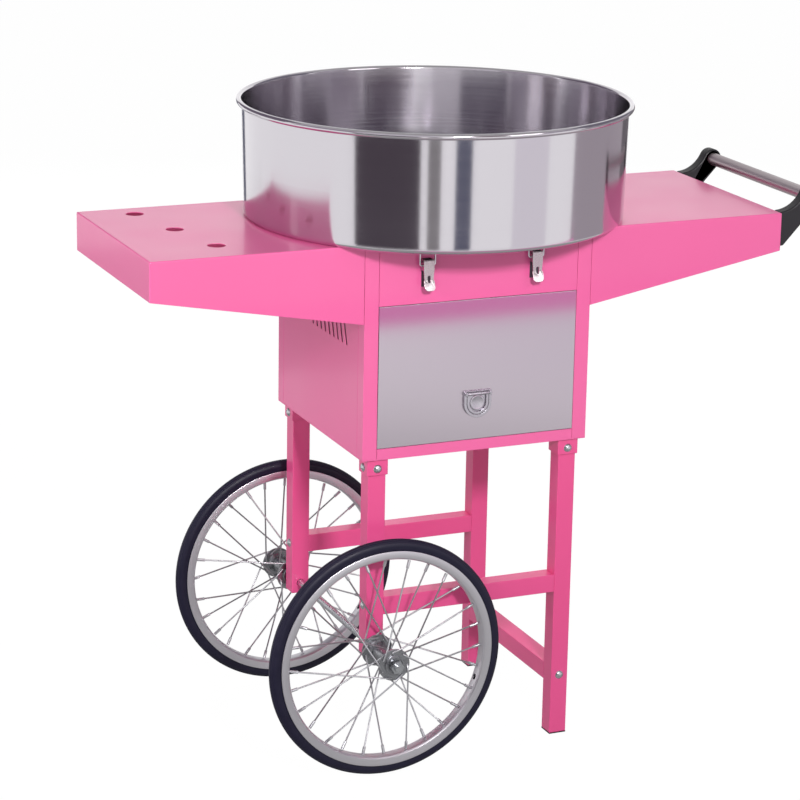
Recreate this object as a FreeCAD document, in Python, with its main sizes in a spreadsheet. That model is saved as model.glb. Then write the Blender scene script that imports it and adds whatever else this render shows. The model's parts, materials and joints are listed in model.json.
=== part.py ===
import FreeCAD
import Part
import Sketcher
import math
import os
import re

# A candy floss machine on a two-wheeled pushcart.
# Millimetres, +Z up, floor at z = 0. X runs along the cart: wheels at -X, push handle at +X.
# The drawer and the front latches face -Y, the switches face +Y.
# Every piece is drawn about the cabinet's own centre line, and cabinet_shift then moves the whole
# cart so that the origin is the bottom centre of its bounding box.

Vector = FreeCAD.Vector
Rotation = FreeCAD.Rotation

SIZES = {
    # sheet metal cabinet
    "cabinet_width": 326,
    "cabinet_depth": 311,
    "cabinet_base": 429,
    "cabinet_height": 291,
    "gauge": 1.2,
    "seam": 0.4,
    "post_width": 20,
    "fold": 12,
    "bottom_rail_height": 15,
    "front_panel_height": 82,
    "shelf_drop": 98,
    # louvres in the side panels
    "louvre_pitch": 15,
    "louvre_width": 5,
    "louvre_length": 66,
    "louvre_rise": 144,
    "louvre_first": 98,
    "louvre_lean": 17,
    # drawer
    "drawer_side_gap": 1.5,
    "drawer_wall": 1,
    "drawer_height": 148,
    "drawer_back_gap": 24,
    "drawer_front_depth": 8,
    "runner_height": 18,
    "runner_inset": 14,
    # drop pull on the drawer
    "pull_width": 40,
    "pull_height": 37,
    "pull_thickness": 3.5,
    "pull_rise": 66,
    "pull_recess": 2.4,
    "pull_strap": 3.6,
    "pull_margin": 4.5,
    "pull_pin_radius": 1.6,
    "pull_clearance": 0.5,
    "pull_side": 1,
    "pull_pin_sink": 0.6,
    "strap_thickness": 1.8,
    "strap_stand": 0.2,
    "strap_eye": 1.1,
    # legs, sockets and rails
    "tube": 25,
    "tube_wall": 1.5,
    "leg_inset_x": 11,
    "leg_inset_y": 6,
    "socket_drop": 22,
    "socket_wall": 2,
    "fit_gap": 0.3,
    "cross_rail_height": 210,
    "side_rail_height": 74,
    "short_leg_tail": 15,
    "foot_height": 1.5,
    "foot_plug": 10,
    # dome headed bolts
    "bolt_radius": 3,
    "bolt_hole_gap": 0.2,
    "bolt_head_radius": 6,
    "bolt_head_height": 3.2,
    "nut_radius": 5.6,
    "nut_height": 4.5,
    "socket_bolt_drop": 13,
    # wheels
    "wheel_radius": 165,
    "tyre_width": 17,
    "rim_edge_radius": 151,
    "rim_inner_radius": 138.5,
    "rim_width": 20,
    "rim_wall": 1.8,
    "rim_lean": 1,
    "rim_shoulder": 2,
    "rim_bed_inset": 3.5,
    "rim_belly": 2.5,
    "rim_belly_inset": 4,
    "tyre_seat_gap": 2.2,
    "valve_hole_radius": 4,
    "spoke_radius": 1.1,
    "spoke_count": 28,
    "spoke_crossings": 3,
    "nipple_radius": 2,
    "nipple_length": 11,
    "nipple_offset": 1.6,
    "nipple_spread": 1.4,
    "wheel_turn": -25.7,
    "hub_hole_circle": 18,
    "hub_flange_radius": 22,
    "hub_flange_spread": 29,
    "hub_flange_thickness": 2.5,
    "hub_barrel_radius": 10,
    "hub_cup_radius": 13.5,
    "hub_cup_wall": 2.5,
    "hub_cup_step": 1,
    "hub_fillet": 4,
    "hub_cone_wall": 3,
    "hub_half_length": 34,
    "wheel_gap": 5,
    "axle_radius": 5,
    "axle_fit": 0.05,
    "axle_end": 5,
    "axle_nut_radius": 9,
    "axle_nut_height": 8,
    "spacer_wall": 3,
    # bowl
    "bowl_radius": 260,
    "bowl_base_radius": 256.5,
    "bowl_height": 157,
    "bowl_gauge": 1.2,
    "bowl_corner": 6,
    "rim_bead": 4,
    "bowl_hole_radius": 46,
    # folding shelves
    "left_shelf_length": 290,
    "right_shelf_length": 290,
    "shelf_end_height": 52.5,
    "shelf_root_height": 105.5,
    "bend_radius": 2,
    "cone_hole_radius": 12,
    "cone_hole_pitch": 107.5,
    "cone_row_out": 200,
    "cone_row_back": 12,
    "cone_row_tilt": 10.9,
    # push handle
    "bar_radius": 9,
    "bar_out": 51,
    "bar_rise": 18,
    "bar_seat": 12,
    "bracket_width": 18,
    "bracket_boss": 14,
    "bracket_foot": 8,
    "bracket_depth": 48,
    "bracket_inset": 6,
    # latches that hold the bowl down
    "latch_spread": 78,
    "latch_pivot_drop": 25.5,
    "latch_pivot_out": 6.5,
    "latch_bail_drop": 6,
    "latch_bail_in": 0.8,
    "latch_base_width": 12.4,
    "latch_base_height": 38,
    "latch_plate": 1.5,
    "ear_spread": 11.8,
    "ear_thickness": 1.2,
    "ear_radius": 3,
    "latch_pin_radius": 1.5,
    "pin_overhang": 0.5,
    "lever_width": 15,
    "lever_gauge": 1.2,
    "lever_out": 10.3,
    "lever_top": 2.5,
    "lever_cheek": 12,
    "lever_neck": 13,
    "lever_neck_drop": 23.5,
    "lever_tip": 15,
    "lever_tip_length": 15.2,
    "lever_tip_corner": 3.5,
    "lever_kick": 24,
    "lever_slot_radius": 2.1,
    "lever_slot_length": 5,
    "lever_slot_drop": 20.5,
    "cheek_edge": 1.4,
    "bail_wire": 1.25,
    "bail_spread": 21.5,
    "bail_length": 21.5,
    "bail_corner": 3,
    "wire_fit": 0.1,
    "catch_width": 13,
    "catch_gap": 1,
    "catch_slot": 2.7,
    "catch_lip": 2.5,
    # drive under the deck
    "motor_radius": 46,
    "motor_height": 50,
    "motor_shoulder": 6,
    "motor_boss": 6,
    "motor_boss_height": 3,
    "motor_shelf_drop": 97,
    "motor_plate_drop": 36,
    "motor_plate": 3,
    "motor_plate_width": 120,
    "standoff_radius": 5,
    "standoff_spread": 50,
    "spindle_radius": 6,
    "spindle_depth": 20,
    "retainer_wall": 3,
    "retainer_height": 5,
    "retainer_taper": 3,
    "housing_radius": 40,
    "housing_flange": 3,
    "housing_collar": 20,
    "housing_reach": 14,
    "housing_shoulder": 4,
    "ring_radius": 15,
    "ring_height": 6,
    "ring_spacing": 4,
    "ring_sleeve": 11,
    "ring_lift": 1,
    "ring_clearance": 3,
    "brush_gap": 0.3,
    "brush_length": 14,
    "brush_width": 8,
    "brush_margin": 0.5,
    "brush_setback": 4,
    "brush_play": 0.2,
    "brush_block_width": 16,
    "brush_foot": 1,
    "brush_foot_reach": 6,
    # spinner head in the bowl
    "head_lift": 26,
    "head_radius": 64,
    "head_floor": 3,
    "head_hub_radius": 14,
    "head_hub_height": 8,
    "head_lip": 8,
    "head_taper": 3,
    "head_lip_wall": 2,
    "band_radius": 59,
    "band_height": 22,
    "band_wall": 1,
    "band_slots": 36,
    "band_slot_width": 1.6,
    "band_slot_height": 15.4,
    "band_slot_rise": 3.3,
    "cap_thickness": 3,
    "cap_mouth": 26,
    "cap_neck": 6,
    "cap_neck_wall": 1.5,
    "cap_neck_foot": 3,
    "cap_edge": 1,
    "cap_bevel": 2,
    # controls on the back panel
    "control_rise": 219,
    "meter_rise": 263,
    "meter_width": 46,
    "meter_height": 34,
    "meter_bezel": 4,
    "meter_depth": 20,
    "meter_window": 4,
    "meter_glass_depth": 1.6,
    "switch_width": 15,
    "switch_height": 21,
    "switch_depth": 16,
    "bezel": 2,
    "power_switch_x": 46,
    "heat_switch_x": 22,
    "knob_x": -10,
    "knob_radius": 13,
    "knob_height": 14,
    "knob_shaft": 3,
    "knob_pointer": 3,
    "knob_pointer_proud": 2,
    "knob_pointer_over": 1,
    "pot_radius": 11,
    "inlet_x": -46,
    "inlet_width": 28,
    "inlet_height": 22,
    "inlet_pin_width": 2,
    "inlet_pin_height": 4,
    "inlet_pin_length": 12,
    "inlet_pin_spread": 6,
    "rocker_gap": 0.4,
    "rocker_tilt": 9,
}

FORMULAS = {
    "half_width": "cabinet_width / 2",
    "half_depth": "cabinet_depth / 2",
    "deck_top": "cabinet_base + cabinet_height",
    "deck_under": "deck_top - gauge",
    "floor_top": "cabinet_base + gauge",
    "louvre_low_edge": "cabinet_base + louvre_rise",
    "pull_centre_height": "cabinet_base + pull_rise",
    "control_row": "cabinet_base + control_rise",
    "meter_row": "cabinet_base + meter_rise",
    "panel_low_edge": "deck_under - front_panel_height",
    "drawer_low_edge": "cabinet_base + bottom_rail_height + seam",
    "opening_half": "half_width - post_width",
    "handle_reach": "right_shelf_length + seam + bar_out + bracket_boss",
    "cabinet_shift": "(left_shelf_length + seam - handle_reach) / 2",
    "leg_x": "half_width - leg_inset_x - tube / 2",
    "leg_y": "half_depth - leg_inset_y - tube / 2",
    "leg_front": "leg_y + tube / 2",
    "leg_side": "leg_x + tube / 2",
    "socket_size": "tube + 2 * fit_gap + 2 * socket_wall",
    "socket_bolt_z": "cabinet_base - socket_bolt_drop",
    "cross_bolt_z": "cross_rail_height + tube / 2",
    "side_bolt_z": "side_rail_height + tube / 2",
    "wheel_y": "leg_front + wheel_gap + hub_half_length",
    "axle_half": "wheel_y + hub_half_length + fit_gap + axle_nut_height + axle_end",
    "tyre_half": "tyre_width / 2",
    "bar_y": "half_depth - bracket_inset - bracket_width / 2",
    "bar_z": "deck_top + bar_rise",
    "pivot_z": "deck_top - latch_pivot_drop",
    "bail_z": "pivot_z - latch_bail_drop",
    "bail_out": "latch_pivot_out - latch_bail_in",
    "bail_top": "bail_z + bail_length",
    "drawer_half": "opening_half - drawer_side_gap",
    "drawer_front_y": "half_depth - drawer_front_depth - fit_gap",
    "drawer_back_y": "half_depth - drawer_back_gap",
    "runner_top": "drawer_low_edge + runner_height",
    "shelf_z": "deck_top - motor_shelf_drop",
    "motor_plate_z": "deck_under - motor_plate_drop",
    "motor_top": "motor_plate_z - fit_gap",
    "ring_z": "motor_plate_z + motor_plate + ring_lift",
    "head_z": "deck_top + head_lift",
    "head_floor_z": "head_z + head_hub_height",
    "cap_z": "head_floor_z + head_floor + band_height",
    "pull_radius": "pull_width / 2",
    "pull_hinge_z": "pull_centre_height + pull_height - pull_radius - pull_pin_radius - 2",
    "strap_out": "pull_radius - pull_margin",
}

document = FreeCAD.newDocument("FlossCart")
subparts = []


def fill_sheet(name, rows):
    """Write one alias per row and return the sheet."""
    sheet = document.addObject("Spreadsheet::Sheet", name)
    for row, (alias, content) in enumerate(rows.items(), start=1):
        sheet.set("A%d" % row, alias)
        sheet.set("B%d" % row, content)
        sheet.setAlias("B%d" % row, alias)
    document.recompute()
    return sheet


def bound(expression):
    """Point each name of an expression at the sheet that holds it."""
    def owner(match):
        word = match.group(0)
        if word in SIZES:
            return "Sizes." + word
        if word in FORMULAS:
            return "Places." + word
        return word
    return re.sub(r"[A-Za-z_]+", owner, expression)


sizes_sheet = fill_sheet("Sizes", {alias: str(number) for alias, number in SIZES.items()})
places_sheet = fill_sheet("Places", {alias: "=" + bound(text) for alias, text in FORMULAS.items()})


def size(alias):
    """Read one number back from the sheets."""
    sheet = sizes_sheet if alias in SIZES else places_sheet
    return float(sheet.get(alias))


def bind(item, **expressions):
    """Drive properties of an object by expressions."""
    for name, text in expressions.items():
        item.setExpression(name, bound(text))
    return item


def seat(item, x="0", y="0", z="0"):
    """Drive an object's position by expressions."""
    item.setExpression("Placement.Base.x", bound(x))
    item.setExpression("Placement.Base.y", bound(y))
    item.setExpression("Placement.Base.z", bound(z))
    return item


def turn(item, axis, degrees):
    """Turn an object about one of its own axes."""
    item.Placement = FreeCAD.Placement(Vector(0, 0, 0), Rotation(axis, degrees))
    return item


TURNS = {
    "+X": (Vector(0, 1, 0), 90),
    "-X": (Vector(0, 1, 0), -90),
    "+Y": (Vector(1, 0, 0), -90),
    "-Y": (Vector(1, 0, 0), 90),
    "+Z": (Vector(0, 0, 1), 0),
    "-Z": (Vector(1, 0, 0), 180),
}


def ship(label, item, x="0", y="0", z="0"):
    """Finish a sub-part: name it and move it with the cart."""
    item.Label = label
    seat(item, "cabinet_shift + " + x, y, z)
    subparts.append(item)
    return item


# ---- solids from primitives -------------------------------------------------------------------

def block(name, lengths, corner):
    """A box from its three lengths and its lowest corner."""
    item = document.addObject("Part::Box", name)
    bind(item, Length=lengths[0], Width=lengths[1], Height=lengths[2])
    return seat(item, *corner)


def centred_block(name, lengths, centre):
    """A box centred on a point in X and Y, standing on the given height."""
    corner = ("%s - (%s) / 2" % (centre[0], lengths[0]), "%s - (%s) / 2" % (centre[1], lengths[1]))
    return block(name, lengths, (corner[0], corner[1], centre[2]))


def rod(name, radius, length, start, axis="+Z"):
    """A cylinder that starts at a point and runs along an axis."""
    item = turn(document.addObject("Part::Cylinder", name), *TURNS[axis])
    bind(item, Radius=radius, Height=length)
    return seat(item, *start)


def group(name, *items):
    """Several solids kept apart in one shape."""
    item = document.addObject("Part::Compound", name)
    item.Links = list(items)
    return item


def join(name, *items):
    """One solid from several."""
    item = document.addObject("Part::MultiFuse", name)
    item.Shapes = list(items)
    item.Refine = True
    return item


def cut(name, base, *tools):
    """A solid less its tools."""
    item = document.addObject("Part::Cut", name)
    item.Base = base
    item.Tool = tools[0] if len(tools) == 1 else group(name + "Tools", *tools)
    return item


def tube_along(name, axis, length, corner):
    """A square tube, open at both ends, from its lowest corner."""
    bore = "tube - 2 * tube_wall"
    outer = [length if letter == axis else "tube" for letter in "XYZ"]
    inner = [length if letter == axis else bore for letter in "XYZ"]
    shift = ["0" if letter == axis else "tube_wall" for letter in "XYZ"]
    start = ["%s + %s" % (place, step) for place, step in zip(corner, shift)]
    return cut(name, block(name + "Outer", outer, corner), block(name + "Bore", inner, start))


# ---- solids from sketches ---------------------------------------------------------------------

def new_body(name):
    return document.addObject("PartDesign::Body", name)


def sketch_on(body, name, role, offset="0"):
    """A sketch on one of the body's own origin planes, lifted along the plane's normal."""
    sketch = body.newObject("Sketcher::SketchObject", name)
    plane = [item for item in body.Origin.OriginFeatures if item.Role == role][0]
    sketch.AttachmentSupport = (plane, [""])
    sketch.MapMode = "FlatFace"
    sketch.setExpression("AttachmentOffset.Base.z", bound(offset))
    return sketch


def pin_point(sketch, edge, end, x, y):
    """Fix one end of an edge at two bound coordinates."""
    for kind, axis, text in (("DistanceX", -2, x), ("DistanceY", -1, y)):
        if text == "0":
            sketch.addConstraint(Sketcher.Constraint("PointOnObject", edge, end, axis))
            continue
        index = sketch.addConstraint(Sketcher.Constraint(kind, -1, 1, edge, end, 1.0))
        sketch.setExpression("Constraints[%d]" % index, bound(text))


def outline(sketch, corners):
    """A closed outline of straight lines through bound corners."""
    count = len(corners)
    start = [Vector(50 * math.cos(k * math.tau / count), 50 * math.sin(k * math.tau / count), 0)
             for k in range(count)]
    for k in range(count):
        sketch.addGeometry(Part.LineSegment(start[k], start[(k + 1) % count]), False)
    for k in range(count):
        sketch.addConstraint(Sketcher.Constraint("Coincident", k, 2, (k + 1) % count, 1))
    for k, (x, y) in enumerate(corners):
        pin_point(sketch, k, 1, x, y)


def circles(sketch, radius, centres):
    """Round holes at bound centres."""
    for k, (x, y) in enumerate(centres):
        sketch.addGeometry(Part.Circle(Vector(k * 30 + 5, 5, 0), Vector(0, 0, 1), 5), False)
        index = sketch.addConstraint(Sketcher.Constraint("Radius", k, 5))
        sketch.setExpression("Constraints[%d]" % index, bound(radius))
        pin_point(sketch, k, 3, x, y)


def pad(body, sketch, name, length, midplane=False):
    item = body.newObject("PartDesign::Pad", name)
    item.Profile = sketch
    bind(item, Length=length)
    item.Midplane = midplane
    return item


def pocket_through(body, sketch, name):
    """Cut a sketch's shape away from its plane downwards, all the way."""
    item = body.newObject("PartDesign::Pocket", name)
    item.Profile = sketch
    item.Type = "ThroughAll"
    return item


def revolve(body, sketch, name):
    """Turn a section once round the body's Z axis."""
    item = body.newObject("PartDesign::Revolution", name)
    item.Profile = sketch
    item.ReferenceAxis = (sketch, ["V_Axis"])
    item.Angle = 360
    return item


def turned_body(name, corners):
    """A turned piece from the radius and height of each corner of its section."""
    body = new_body(name)
    section = sketch_on(body, name + "Section", "XZ_Plane")
    outline(section, corners)
    revolve(body, section, name + "Turn")
    return body


def round_edges(body, feature, name, radius, chosen):
    """Round the edges of a feature that a test picks."""
    document.recompute()
    edges = ["Edge%d" % k for k, edge in enumerate(feature.Shape.Edges, start=1) if chosen(edge)]
    item = body.newObject("PartDesign::Fillet", name)
    item.Base = (feature, edges)
    bind(item, Radius=radius)
    return item


def circle_at(radius, height):
    """Test for a full circle of one radius at one height."""
    def test(edge):
        curve = edge.Curve
        return isinstance(curve, Part.Circle) and abs(curve.Radius - radius) < 0.01 \
            and abs(curve.Center.z - height) < 0.01
    return test


# ---- bowl -------------------------------------------------------------------------------------

def make_bowl():
    """Spun bowl: flat base with a round hole, flared wall and a rolled rim."""
    body = new_body("BowlBody")
    section = sketch_on(body, "BowlSection", "XZ_Plane")
    wall_top = "bowl_height - rim_bead"
    outline(section, [
        ("bowl_hole_radius", "0"),
        ("bowl_base_radius", "0"),
        ("bowl_radius", wall_top),
        ("bowl_radius - bowl_gauge", wall_top),
        ("bowl_base_radius - bowl_gauge", "bowl_gauge"),
        ("bowl_hole_radius", "bowl_gauge"),
    ])
    turned = revolve(body, section, "BowlTurn")
    outer = circle_at(size("bowl_base_radius"), 0)
    rounded = round_edges(body, turned, "BowlOuterCorner", "bowl_corner", outer)
    inner = circle_at(size("bowl_base_radius") - size("bowl_gauge"), size("bowl_gauge"))
    round_edges(body, rounded, "BowlInnerCorner", "bowl_corner - bowl_gauge", inner)
    bead = body.newObject("PartDesign::AdditiveTorus", "RimBead")
    bind(bead, Radius1="bowl_radius - bowl_gauge + rim_bead", Radius2="rim_bead")
    seat(bead, z=wall_top)
    ship("bowl", body, z="deck_top")


def latch_sites():
    """Name, side and place of each latch: two on the front panel and two on the back."""
    for face in ("front", "back"):
        for side, sign in (("left", "-"), ("right", "")):
            yield face + "_" + side, face, sign + "latch_spread"


def on_face(item, face, x):
    """Stand a piece drawn against y = 0 on the front or the back of the cabinet."""
    angle = 0 if face == "front" else 180
    turn(item, Vector(0, 0, 1), angle)
    return seat(item, x, "-half_depth" if face == "front" else "half_depth")


def make_catches():
    """Four J-shaped hooks under the bowl that the wire bails pull down on."""
    slot_out = "bail_out + bail_wire + catch_slot"
    plate_out = "bail_out - bail_wire - catch_gap"
    floor_z = "bail_top - bail_wire - fit_gap"
    hooks = []
    for name, face, x in latch_sites():
        tag = "Catch_" + name
        left = "-catch_width / 2"
        back = block(tag + "Back", ("catch_width", "latch_plate", "deck_top - (%s) + latch_plate" % floor_z),
                     (left, "-(%s)" % plate_out, floor_z + " - latch_plate"))
        sole = block(tag + "Sole",
                     ("catch_width", "%s - (%s) + latch_plate" % (slot_out, plate_out), "latch_plate"),
                     (left, "-(%s) - latch_plate" % slot_out, floor_z + " - latch_plate"))
        lip = block(tag + "Lip", ("catch_width", "latch_plate", "catch_lip + latch_plate"),
                    (left, "-(%s) - latch_plate" % slot_out, floor_z + " - latch_plate"))
        flange = block(tag + "Flange", ("catch_width", "%s + latch_plate" % slot_out, "latch_plate"),
                       (left, "-(%s) - latch_plate" % slot_out, "deck_top - latch_plate"))
        hooks.append(on_face(join(tag, back, sole, lip, flange), face, x))
    ship("bowl_catches", group("Catches", *hooks))


# ---- shelves and push handle --------------------------------------------------------------------

def make_shelf(label, length, side, holes):
    """A folded shelf: flat top, tapered aprons, an outer end and a flange on the cabinet."""
    body = new_body(label + "_body")
    section = sketch_on(body, label + "_apron", "XZ_Plane")
    outline(section, [("0", "0"), (length, "0"), (length, "-shelf_end_height"), ("0", "-shelf_root_height")])
    solid = pad(body, section, label + "_pad", "cabinet_depth", midplane=True)
    reach = size(length)
    half = size("cabinet_depth") / 2

    def bend(edge):
        centre = edge.CenterOfMass
        on_top = abs(centre.z) < 0.01
        on_side = abs(abs(centre.y) - half) < 0.01
        on_end = abs(centre.x - reach) < 0.01
        return (on_top and on_side) or (on_top and on_end) or (on_side and on_end)

    round_edges(body, solid, label + "_bends", "bend_radius", bend)
    hollow = sketch_on(body, label + "_hollow", "XY_Plane", "-gauge")
    outline(hollow, [
        ("gauge", "-half_depth + gauge"),
        (length + " - gauge", "-half_depth + gauge"),
        (length + " - gauge", "half_depth - gauge"),
        ("gauge", "half_depth - gauge"),
    ])
    pocket_through(body, hollow, label + "_open_below")
    if holes:
        row = sketch_on(body, label + "_holes", "XY_Plane")
        along = "cone_hole_pitch * cos(cone_row_tilt * 1 deg)"
        across = "cone_hole_pitch * sin(cone_row_tilt * 1 deg)"
        centres = [("cone_row_out + %d * %s" % (k, across), "-cone_row_back - %d * %s" % (k, along))
                   for k in (-1, 0, 1)]
        circles(row, "cone_hole_radius", centres)
        pocket_through(body, row, label + "_cone_holes")
    turn(body, Vector(0, 0, 1), 0 if side > 0 else 180)
    ship(label, body, "half_width + seam" if side > 0 else "(-half_width - seam)", "0", "deck_top")


def bracket_outline():
    """Side outline of a handle bracket: x out of the shelf's end, y up from the shelf's top.

    A hollow arc leaves the shelf's top edge level and meets the round boss without a corner; a
    straight underside runs from the boss back to the foot.
    """
    out, rise, boss = size("bar_out"), size("bar_rise"), size("bracket_boss")
    foot, depth = size("bracket_foot"), size("bracket_depth")
    hollow = (out ** 2 + rise ** 2 - boss ** 2) / (2 * (rise + boss))
    share = hollow / (hollow + boss)
    level = -size("bracket_width") / 2
    meeting = Vector(out * share, hollow + (rise - hollow) * share, level)
    start = Vector(0, 0, level)
    bend = math.atan2(meeting.x, hollow - meeting.y) / 2
    hollow_middle = Vector(hollow * math.sin(bend), hollow - hollow * math.cos(bend), level)
    heel = Vector(foot, -depth, level)
    gap = Vector(out, rise, level) - heel
    angle = math.atan2(gap.y, gap.x) - math.asin(boss / gap.Length)
    leaving = Vector(out + boss * math.sin(angle), rise - boss * math.cos(angle), level)
    crown = Vector(out + boss * math.cos(math.pi / 4), rise + boss * math.sin(math.pi / 4), level)
    corner = Vector(0, -depth, level)
    edges = [
        Part.Arc(start, hollow_middle, meeting).toShape(),
        Part.Arc(meeting, crown, leaving).toShape(),
        Part.makeLine(leaving, heel),
        Part.makeLine(heel, corner),
        Part.makeLine(corner, start),
    ]
    return Part.Face(Part.Wire(edges))


def make_handle():
    """Two moulded brackets on the right shelf's end and the round push bar between them."""
    width = size("bracket_width")
    face = bracket_outline()
    upright = FreeCAD.Placement(Vector(0, 0, 0), Rotation(Vector(1, 0, 0), 90))
    brackets = []
    for name, y in (("Front", "-bar_y"), ("Back", "bar_y")):
        blank = document.addObject("Part::Feature", "Bracket%sBlank" % name)
        blank.Shape = face.extrude(Vector(0, 0, width))
        blank.Placement = upright
        seat(blank, "half_width + seam + right_shelf_length", y, "deck_top")
        start = y + (" + bracket_width / 2 - bar_seat" if name == "Front" else " - bracket_width / 2")
        hole = rod("Bracket%sHole" % name, "bar_radius + wire_fit", "bar_seat",
                   ("half_width + seam + right_shelf_length + bar_out", start, "bar_z"), "+Y")
        brackets.append(cut("Bracket" + name, blank, hole))
    ship("handle_brackets", group("Brackets", *brackets))
    reach = "bar_y - bracket_width / 2 + bar_seat - fit_gap"
    centre = ("half_width + seam + right_shelf_length + bar_out", "-(%s)" % reach, "bar_z")
    outer = rod("BarOuter", "bar_radius", "2 * (%s)" % reach, centre, "+Y")
    inner = rod("BarBore", "bar_radius - tube_wall", "2 * (%s)" % reach, centre, "+Y")
    ship("handle_bar", cut("Bar", outer, inner))


# ---- cabinet ----------------------------------------------------------------------------------

def make_posts():
    """Four corner posts of folded sheet, each with two lips turned inwards."""
    posts = []
    corners = (("-", "-", 0), ("", "-", 90), ("", "", 180), ("-", "", 270))
    for number, (sx, sy, angle) in enumerate(corners, start=1):
        body = new_body("Post%d" % number)
        section = sketch_on(body, "Post%dSection" % number, "XY_Plane")
        outline(section, [
            ("0", "0"), ("post_width", "0"), ("post_width", "fold"), ("post_width - gauge", "fold"),
            ("post_width - gauge", "gauge"), ("gauge", "gauge"), ("gauge", "post_width - gauge"),
            ("fold", "post_width - gauge"), ("fold", "post_width"), ("0", "post_width"),
        ])
        pad(body, section, "Post%dPad" % number, "deck_under - floor_top")
        turn(body, Vector(0, 0, 1), angle)
        posts.append(seat(body, sx + "half_width", sy + "half_depth", "floor_top"))
    ship("corner_posts", group("Posts", *posts))


def tray(name, width, height, low):
    """A flat panel with its four edges folded back, its face on y = 0 and its folds towards +Y."""
    outer = centred_block(name + "Outer", (width, "fold", height), ("0", "fold / 2", low))
    inner = centred_block(name + "Inner", ("%s - 2 * gauge" % width, "fold", "%s - 2 * gauge" % height),
                          ("0", "gauge + fold / 2", "%s + gauge" % low))
    return cut(name, outer, inner)


def leaning_slot(name, k):
    """One louvre slot, lying along the panel's width and leaning over as it rises."""
    body = new_body(name)
    section = sketch_on(body, name + "Outline", "XZ_Plane")
    left = "louvre_first - louvre_width - %d * louvre_pitch" % k
    lean = "louvre_length * tan(louvre_lean * 1 deg)"
    outline(section, [
        (left, "louvre_low_edge"),
        (left + " + louvre_width", "louvre_low_edge"),
        ("%s + louvre_width - %s" % (left, lean), "louvre_low_edge + louvre_length"),
        ("%s - %s" % (left, lean), "louvre_low_edge + louvre_length"),
    ])
    pad(body, section, name + "Pad", "4 * gauge", midplane=True)
    return body


def make_side_panels():
    """Left and right panels with a row of leaning vent slots."""
    sides = (("left_side_panel", 270, "(-half_width)"), ("right_side_panel", 90, "half_width"))
    for label, angle, place in sides:
        panel = tray(label + "_tray", "cabinet_depth - 2 * post_width - 2 * seam",
                     "deck_under - floor_top", "floor_top")
        slots = [leaning_slot("%s_slot%d" % (label, k), k) for k in range(9)]
        vented = cut(label + "_vented", panel, *slots)
        turn(vented, Vector(0, 0, 1), angle)
        ship(label, vented, place)


def make_front_panel():
    """The fixed panel over the drawer that carries the two front latches."""
    panel = tray("FrontTray", "2 * (opening_half - seam)", "front_panel_height", "panel_low_edge")
    ship("front_panel", panel, "0", "-half_depth")


def control_sites():
    """Middle, width and height of every cut-out of the back panel, as seen from outside."""
    yield "Meter", "0", "meter_row", "meter_width - 2 * meter_bezel", "meter_height - 2 * meter_bezel"
    yield "Power", "power_switch_x", "control_row", "switch_width", "switch_height"
    yield "Heat", "heat_switch_x", "control_row", "switch_width", "switch_height"
    yield "Inlet", "inlet_x", "control_row", "inlet_width - 2 * bezel", "inlet_height - 2 * bezel"


def make_back_panel():
    """The rear panel with openings for the meter, two switches, the knob's shaft and the inlet."""
    panel = tray("BackTray", "2 * (opening_half - seam)", "deck_under - floor_top", "floor_top")
    tools = [
        block(name + "Cutout", ("%s + 2 * fit_gap" % wide, "4 * gauge", "%s + 2 * fit_gap" % tall),
              ("%s - (%s) / 2 - fit_gap" % (x, wide), "-gauge", "%s - (%s) / 2 - fit_gap" % (z, tall)))
        for name, x, z, wide, tall in control_sites()
    ]
    tools.append(rod("KnobCutout", "knob_shaft + fit_gap", "4 * gauge",
                     ("knob_x", "-gauge", "control_row"), "+Y"))
    panel = cut("BackPanel", panel, *tools)
    turn(panel, Vector(0, 0, 1), 180)
    ship("back_panel", panel, "0", "half_depth")


def make_floor_and_deck():
    """Bottom plate with the rail under the drawer, and the top deck with the spindle's hole."""
    sheet = ("cabinet_width", "cabinet_depth", "gauge")
    plate = centred_block("FloorPlate", sheet, ("0", "0", "cabinet_base"))
    rail = block("BottomRail", ("2 * (opening_half - seam)", "gauge", "bottom_rail_height"),
                 ("-opening_half + seam", "-half_depth", "cabinet_base"))
    lip = block("BottomRailLip", ("2 * (opening_half - seam)", "fold", "gauge"),
                ("-opening_half + seam", "-half_depth", "cabinet_base + bottom_rail_height - gauge"))
    ship("cabinet_floor", join("Floor", plate, rail, lip))
    deck = centred_block("DeckPlate", sheet, ("0", "0", "deck_under"))
    hole = rod("DeckHole", "housing_collar + fit_gap", "3 * gauge", ("0", "0", "deck_under - gauge"))
    ship("top_deck", cut("Deck", deck, hole))


def make_motor_shelf():
    """A plate that closes the drawer space off from the drive, flanged down onto both sides."""
    side = "half_width - gauge - fit_gap"
    run = "2 * (half_depth - post_width - seam - gauge - fit_gap)"
    plate = centred_block("ShelfPlate", ("2 * (half_width - fold - fit_gap)",
                                         "2 * (half_depth - fold - fit_gap)", "gauge"), ("0", "0", "shelf_z"))
    tongue = centred_block("ShelfTongue", ("2 * (%s)" % side, run, "gauge"), ("0", "0", "shelf_z"))
    flanges = [
        block("ShelfFlange%d" % k, ("gauge", run, "fold"),
              (x, "-(%s) / 2" % run, "shelf_z - fold + gauge"))
        for k, x in enumerate(("-(%s)" % side, "%s - gauge" % side))
    ]
    ship("motor_shelf", join("MotorShelf", plate, tongue, *flanges))


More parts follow.
